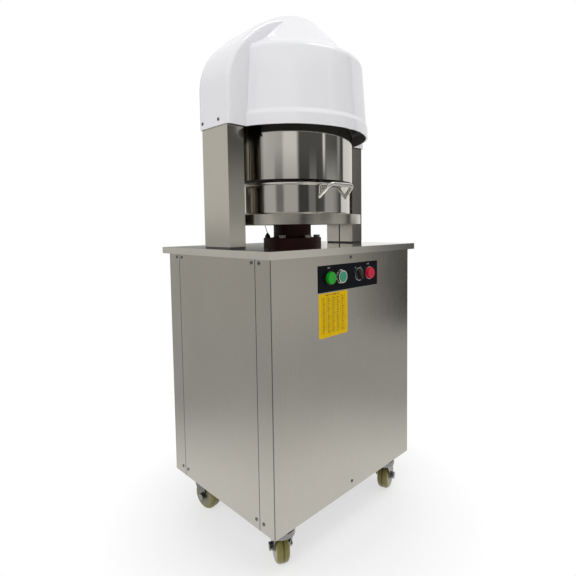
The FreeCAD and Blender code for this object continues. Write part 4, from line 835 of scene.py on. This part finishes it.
def rounded_outline(centre, half, radius):
    """Outline of a rectangle with round corners."""
    rim = []
    for quarter in range(4):
        turn = math.pi / 2 * quarter
        sign = (1 if quarter in (0, 3) else -1, 1 if quarter in (0, 1) else -1)
        middle = (centre[0] + sign[0] * (half[0] - radius), centre[1] + sign[1] * (half[1] - radius))
        for i in range(CORNER_STEPS + 1):
            angle = turn + math.pi / 2 * i / CORNER_STEPS
            rim.append((middle[0] + radius * math.cos(angle), middle[1] + radius * math.sin(angle)))
    return rim


# Yellow ruled plate under the controls
LABEL_SPAN_X = (-0.1125, -0.014)
LABEL_SPAN_Z = (0.501, 0.6015)
LABEL_THICKNESS = 0.25 * MM
LABEL_CORNER = 3 * MM
LABEL_MARGIN = 9 * MM
LABEL_ROWS = 14
LABEL_COLUMNS = 5
RULE_WIDTH = 0.3 * MM
DASH_HEIGHT = 1.7 * MM
DASH_START_SHARE = 0.22
DASH_LENGTH_SHARES = (0.34, 0.52, 0.42)
HEADING_RISE = 4.5 * MM
HEADING_SHARES = ((0.16, 0.3), (0.34, 0.4), (0.44, 0.62), (0.66, 0.74))
LABEL_YELLOW = plastic("label_yellow", (0.74, 0.47, 0.0), (0.5, 0.6), grain=500, Specular_IOR_Level=0.05)
LABEL_INK = plastic("label_ink", (0.03, 0.024, 0.012), (0.35, 0.5))
panel_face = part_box("front_panel")[0].y


def make_label():
    """Thin yellow plate with a ruled table of plain dashes."""
    centre = (sum(LABEL_SPAN_X) / 2, sum(LABEL_SPAN_Z) / 2)
    half = ((LABEL_SPAN_X[1] - LABEL_SPAN_X[0]) / 2, (LABEL_SPAN_Z[1] - LABEL_SPAN_Z[0]) / 2)
    face = panel_face - LABEL_THICKNESS

    def sheet(shape):
        add_slab(shape, rounded_outline(centre, half, LABEL_CORNER), face, panel_face)

    def bar(shape, x, z):
        outline = ((x[0], z[0]), (x[1], z[0]), (x[1], z[1]), (x[0], z[1]))
        add_slab(shape, outline, face - PRINT_RISE, face + PRINT_RISE)

    def line(shape, x, z, thickness):
        bar(shape, x, (z - thickness / 2, z + thickness / 2))

    def table(shape):
        left, right = LABEL_SPAN_X[0] + LABEL_MARGIN, LABEL_SPAN_X[1] - LABEL_MARGIN
        low, high = LABEL_SPAN_Z[0] + LABEL_MARGIN, LABEL_SPAN_Z[1] - LABEL_MARGIN
        pitch = (high - low) / LABEL_ROWS
        step = (right - left) / LABEL_COLUMNS
        for row in range(LABEL_ROWS + 1):
            line(shape, (left, right), low + row * pitch, RULE_WIDTH)
        for column in range(LABEL_COLUMNS + 1):
            x = left + column * step
            bar(shape, (x - RULE_WIDTH / 2, x + RULE_WIDTH / 2), (low, high))
        for row in range(LABEL_ROWS):
            z = low + (row + 0.5) * pitch
            for column in range(LABEL_COLUMNS):
                start = left + (column + DASH_START_SHARE) * step
                length = step * DASH_LENGTH_SHARES[(2 * row + column) % len(DASH_LENGTH_SHARES)]
                line(shape, (start, start + length), z, DASH_HEIGHT)
        for start, end in HEADING_SHARES:
            ends = (left + start * (right - left), left + end * (right - left))
            line(shape, ends, high + HEADING_RISE, DASH_HEIGHT)

    new_piece("label_plate", mesh_from(sheet, "label_plate"), LABEL_YELLOW, "cabinet")
    new_piece("label_rules", mesh_from(table, "label_rules"), LABEL_INK, "cabinet")


make_label()


# Studio: pale floor, white surroundings, soft lamps and a dim wall that only reflections show
def stage_only(thing, *seen_by):
    """Keep a stage object out of every kind of ray but the named ones."""
    for kind in ("camera", "diffuse", "glossy", "transmission", "volume_scatter", "shadow"):
        setattr(thing, "visible_" + kind, kind in seen_by)


FLOOR_RADIUS = 9.0
FLOOR_SEGMENTS = 96
FLOOR_COLOUR = (0.86, 0.86, 0.86)
FLOOR_FADE = (0.26, 0.50)
FLOOR_WHITE_NEAR = 0.62
# How bright the floor looks in the metal, near the object and far from it, and where that changes
FLOOR_MIRRORED = (1.0, 0.53)
FLOOR_MIRRORED_SPAN = (0.48, 1.0)


def make_floor():
    """Pale floor with a faint soft shadow near the object, fading to plain white away from it."""

    def disc(shape):
        bmesh.ops.create_circle(shape, cap_ends=True, radius=FLOOR_RADIUS, segments=FLOOR_SEGMENTS)

    finish = Finish("floor", FLOOR_COLOUR, 0.7, Specular_IOR_Level=0.0)
    reach = finish.node("VectorMath", {0: finish.place}, operation="LENGTH").outputs["Value"]
    away = finish.spread(reach, FLOOR_WHITE_NEAR, 1.0, *FLOOR_FADE)
    path = finish.node("LightPath").outputs
    dimmed = finish.spread(reach, *FLOOR_MIRRORED, *FLOOR_MIRRORED_SPAN)
    level = finish.maths("MAXIMUM", path["Is Camera Ray"], dimmed)
    glow = finish.node("Emission", {"Color": (1, 1, 1, 1), "Strength": level}).outputs[0]
    mirrored = finish.maths("MAXIMUM", path["Is Glossy Ray"], path["Is Transmission Ray"])
    seen = finish.maths("MAXIMUM", finish.maths("MULTIPLY", path["Is Camera Ray"], away), mirrored)
    finish.show(finish.node("MixShader", {0: seen, 1: finish.surface.outputs[0], 2: glow}).outputs[0])
    floor = bpy.data.objects.new("floor", mesh_from(disc, "floor"))
    floor.data.materials.append(finish.material)
    floor.location.z = cad_box[0].z
    scene.collection.objects.link(floor)


WORLD_LEVEL = 0.55


def make_world():
    """White where the camera and reflections look, and an even soft light for everything else."""
    world = bpy.data.worlds.new("studio")
    world.use_nodes = True
    tree = world.node_tree
    plain = tree.nodes["Background"]
    plain.inputs["Color"].default_value = (1, 1, 1, 1)
    plain.inputs["Strength"].default_value = WORLD_LEVEL
    white = tree.nodes.new("ShaderNodeBackground")
    white.inputs["Color"].default_value = (1, 1, 1, 1)
    path = tree.nodes.new("ShaderNodeLightPath")
    share = path.outputs["Is Camera Ray"]
    for kind in ("Is Glossy Ray", "Is Transmission Ray"):
        both = tree.nodes.new("ShaderNodeMath")
        both.operation = "MAXIMUM"
        tree.links.new(share, both.inputs[0])
        tree.links.new(path.outputs[kind], both.inputs[1])
        share = both.outputs[0]
    mix = tree.nodes.new("ShaderNodeMixShader")
    tree.links.new(share, mix.inputs[0])
    tree.links.new(plain.outputs[0], mix.inputs[1])
    tree.links.new(white.outputs[0], mix.inputs[2])
    tree.links.new(mix.outputs[0], tree.nodes["World Output"].inputs["Surface"])
    scene.world = world


WALL_RADIUS = 2.4
WALL_HEIGHT = 2.3
WALL_SEGMENTS = 120
WALL_TINT = (1, 0.99, 0.96)
# Brightness of the surroundings by azimuth in degrees, counter-clockwise from +X, as (start, level)
LOW_WALL = (
    (0, 0.9), (20, 1.0), (80, 1.0), (100, 0.6), (112, 0.55), (182, 0.55), (188, 0.9), (208, 0.9), (216, 0.06),
    (242, 0.06), (252, 0.5), (280, 0.68), (315, 0.68), (322, 0.14), (328, 0.03), (350, 0.03), (356, 0.9),
)
MIDDLE_WALL = (
    (0, 0.85), (38, 0.85), (46, 0.06), (104, 0.06), (110, 0.85), (150, 0.85), (154, 0.08), (174, 0.08),
    (178, 0.5), (196, 0.5), (200, 0.2), (210, 0.2), (214, 0.5), (236, 0.5), (240, 0.06), (257, 0.06),
    (259, 0.22), (270, 0.22), (272, 0.06), (288, 0.1), (292, 0.42), (308, 0.42), (318, 0.3), (325, 0.14),
    (332, 0.06), (335, 0.85),
)
HIGH_WALL = (
    (0, 0.85), (38, 0.85), (46, 0.06), (104, 0.06), (110, 0.85), (150, 0.85), (154, 0.1), (172, 0.1),
    (178, 0.6), (210, 0.5), (215, 0.8), (235, 0.8), (240, 0.1), (283, 0.1), (285, 1.0), (287, 1.0),
    (289, 0.12), (315, 0.1), (318, 0.35), (323, 0.35), (325, 0.06), (332, 0.06), (335, 0.85),
)
# Heights between which one set of levels passes into the next
LOW_TO_MIDDLE = (0.66, 0.86)
MIDDLE_TO_HIGH = (1.08, 1.35)


def make_wall():
    """Round wall with dim and bright stretches that change with height, for the reflections in the metal."""

    def tube(shape):
        rings = []
        for z in (0, WALL_HEIGHT):
            ring = []
            for i in range(WALL_SEGMENTS):
                angle = math.tau * i / WALL_SEGMENTS
                x, y = WALL_RADIUS * math.cos(angle), WALL_RADIUS * math.sin(angle)
                ring.append(shape.verts.new((x, y, z)))
            rings.append(ring)
        add_band(shape, *rings)

    finish = Finish("wall", (0.5, 0.5, 0.5), 1.0)
    x, y, z = finish.split(finish.place)
    angle = finish.maths("ARCTAN2", y, x)
    turn = finish.maths("FRACT", finish.maths("ADD", finish.maths("DIVIDE", angle, math.tau), 1.0))
    tones = []
    for levels in (LOW_WALL, MIDDLE_WALL, HIGH_WALL):
        ramp = finish.node("ValToRGB", {"Fac": turn})
        stops = ramp.color_ramp.elements
        while len(stops) > 1:
            stops.remove(stops[-1])
        for i, (start, level) in enumerate(levels):
            stop = stops[0] if i == 0 else stops.new(start / 360)
            stop.position = start / 360
            stop.color = (*(level * part for part in WALL_TINT), 1)
        tones.append(ramp.outputs["Color"])
    lower = finish.mixed(finish.spread(z, 0.0, 1.0, *LOW_TO_MIDDLE), tones[0], tones[1])
    tone = finish.mixed(finish.spread(z, 0.0, 1.0, *MIDDLE_TO_HIGH), lower, tones[2])
    finish.show(finish.node("Emission", {"Color": tone}).outputs[0])
    wall = bpy.data.objects.new("wall", mesh_from(tube, "wall"))
    wall.data.materials.append(finish.material)
    scene.collection.objects.link(wall)
    stage_only(wall, "glossy")


BODY_MIDDLE = (0, 0, 0.8)
# Name, place, aim, width and length, power, and whether it shows in reflections
LAMPS = (
    ("key", (-2.4, -1.0, 2.4), BODY_MIDDLE, (1.6, 1.6), 28, False),
    ("fill", (1.6, -2.4, 1.8), BODY_MIDDLE, (1.6, 1.6), 9, False),
    ("top", (0, 0, 3.4), BODY_MIDDLE, (2.4, 2.4), 9, False),
    ("strip", (0.6, -1.2, 3.2), (0.6, -0.3, 1.1), (1.5, 0.6), 12, True),
)


def make_lamp(name, place, target, size, power, mirrored):
    """Soft lamp of a width and a length, aimed at a point."""
    data = bpy.data.lights.new(name, "AREA")
    data.shape = "RECTANGLE"
    data.size, data.size_y = size
    data.energy = power
    lamp_object = bpy.data.objects.new(name, data)
    lamp_object.location = place
    aim = Vector(target) - Vector(place)
    lamp_object.rotation_mode = "QUATERNION"
    lamp_object.rotation_quaternion = aim.to_track_quat("-Z", "Y")
    scene.collection.objects.link(lamp_object)
    lamp_object.visible_camera = False
    lamp_object.visible_glossy = mirrored


make_floor()
make_world()
make_wall()
for lamp in LAMPS:
    make_lamp(*lamp)
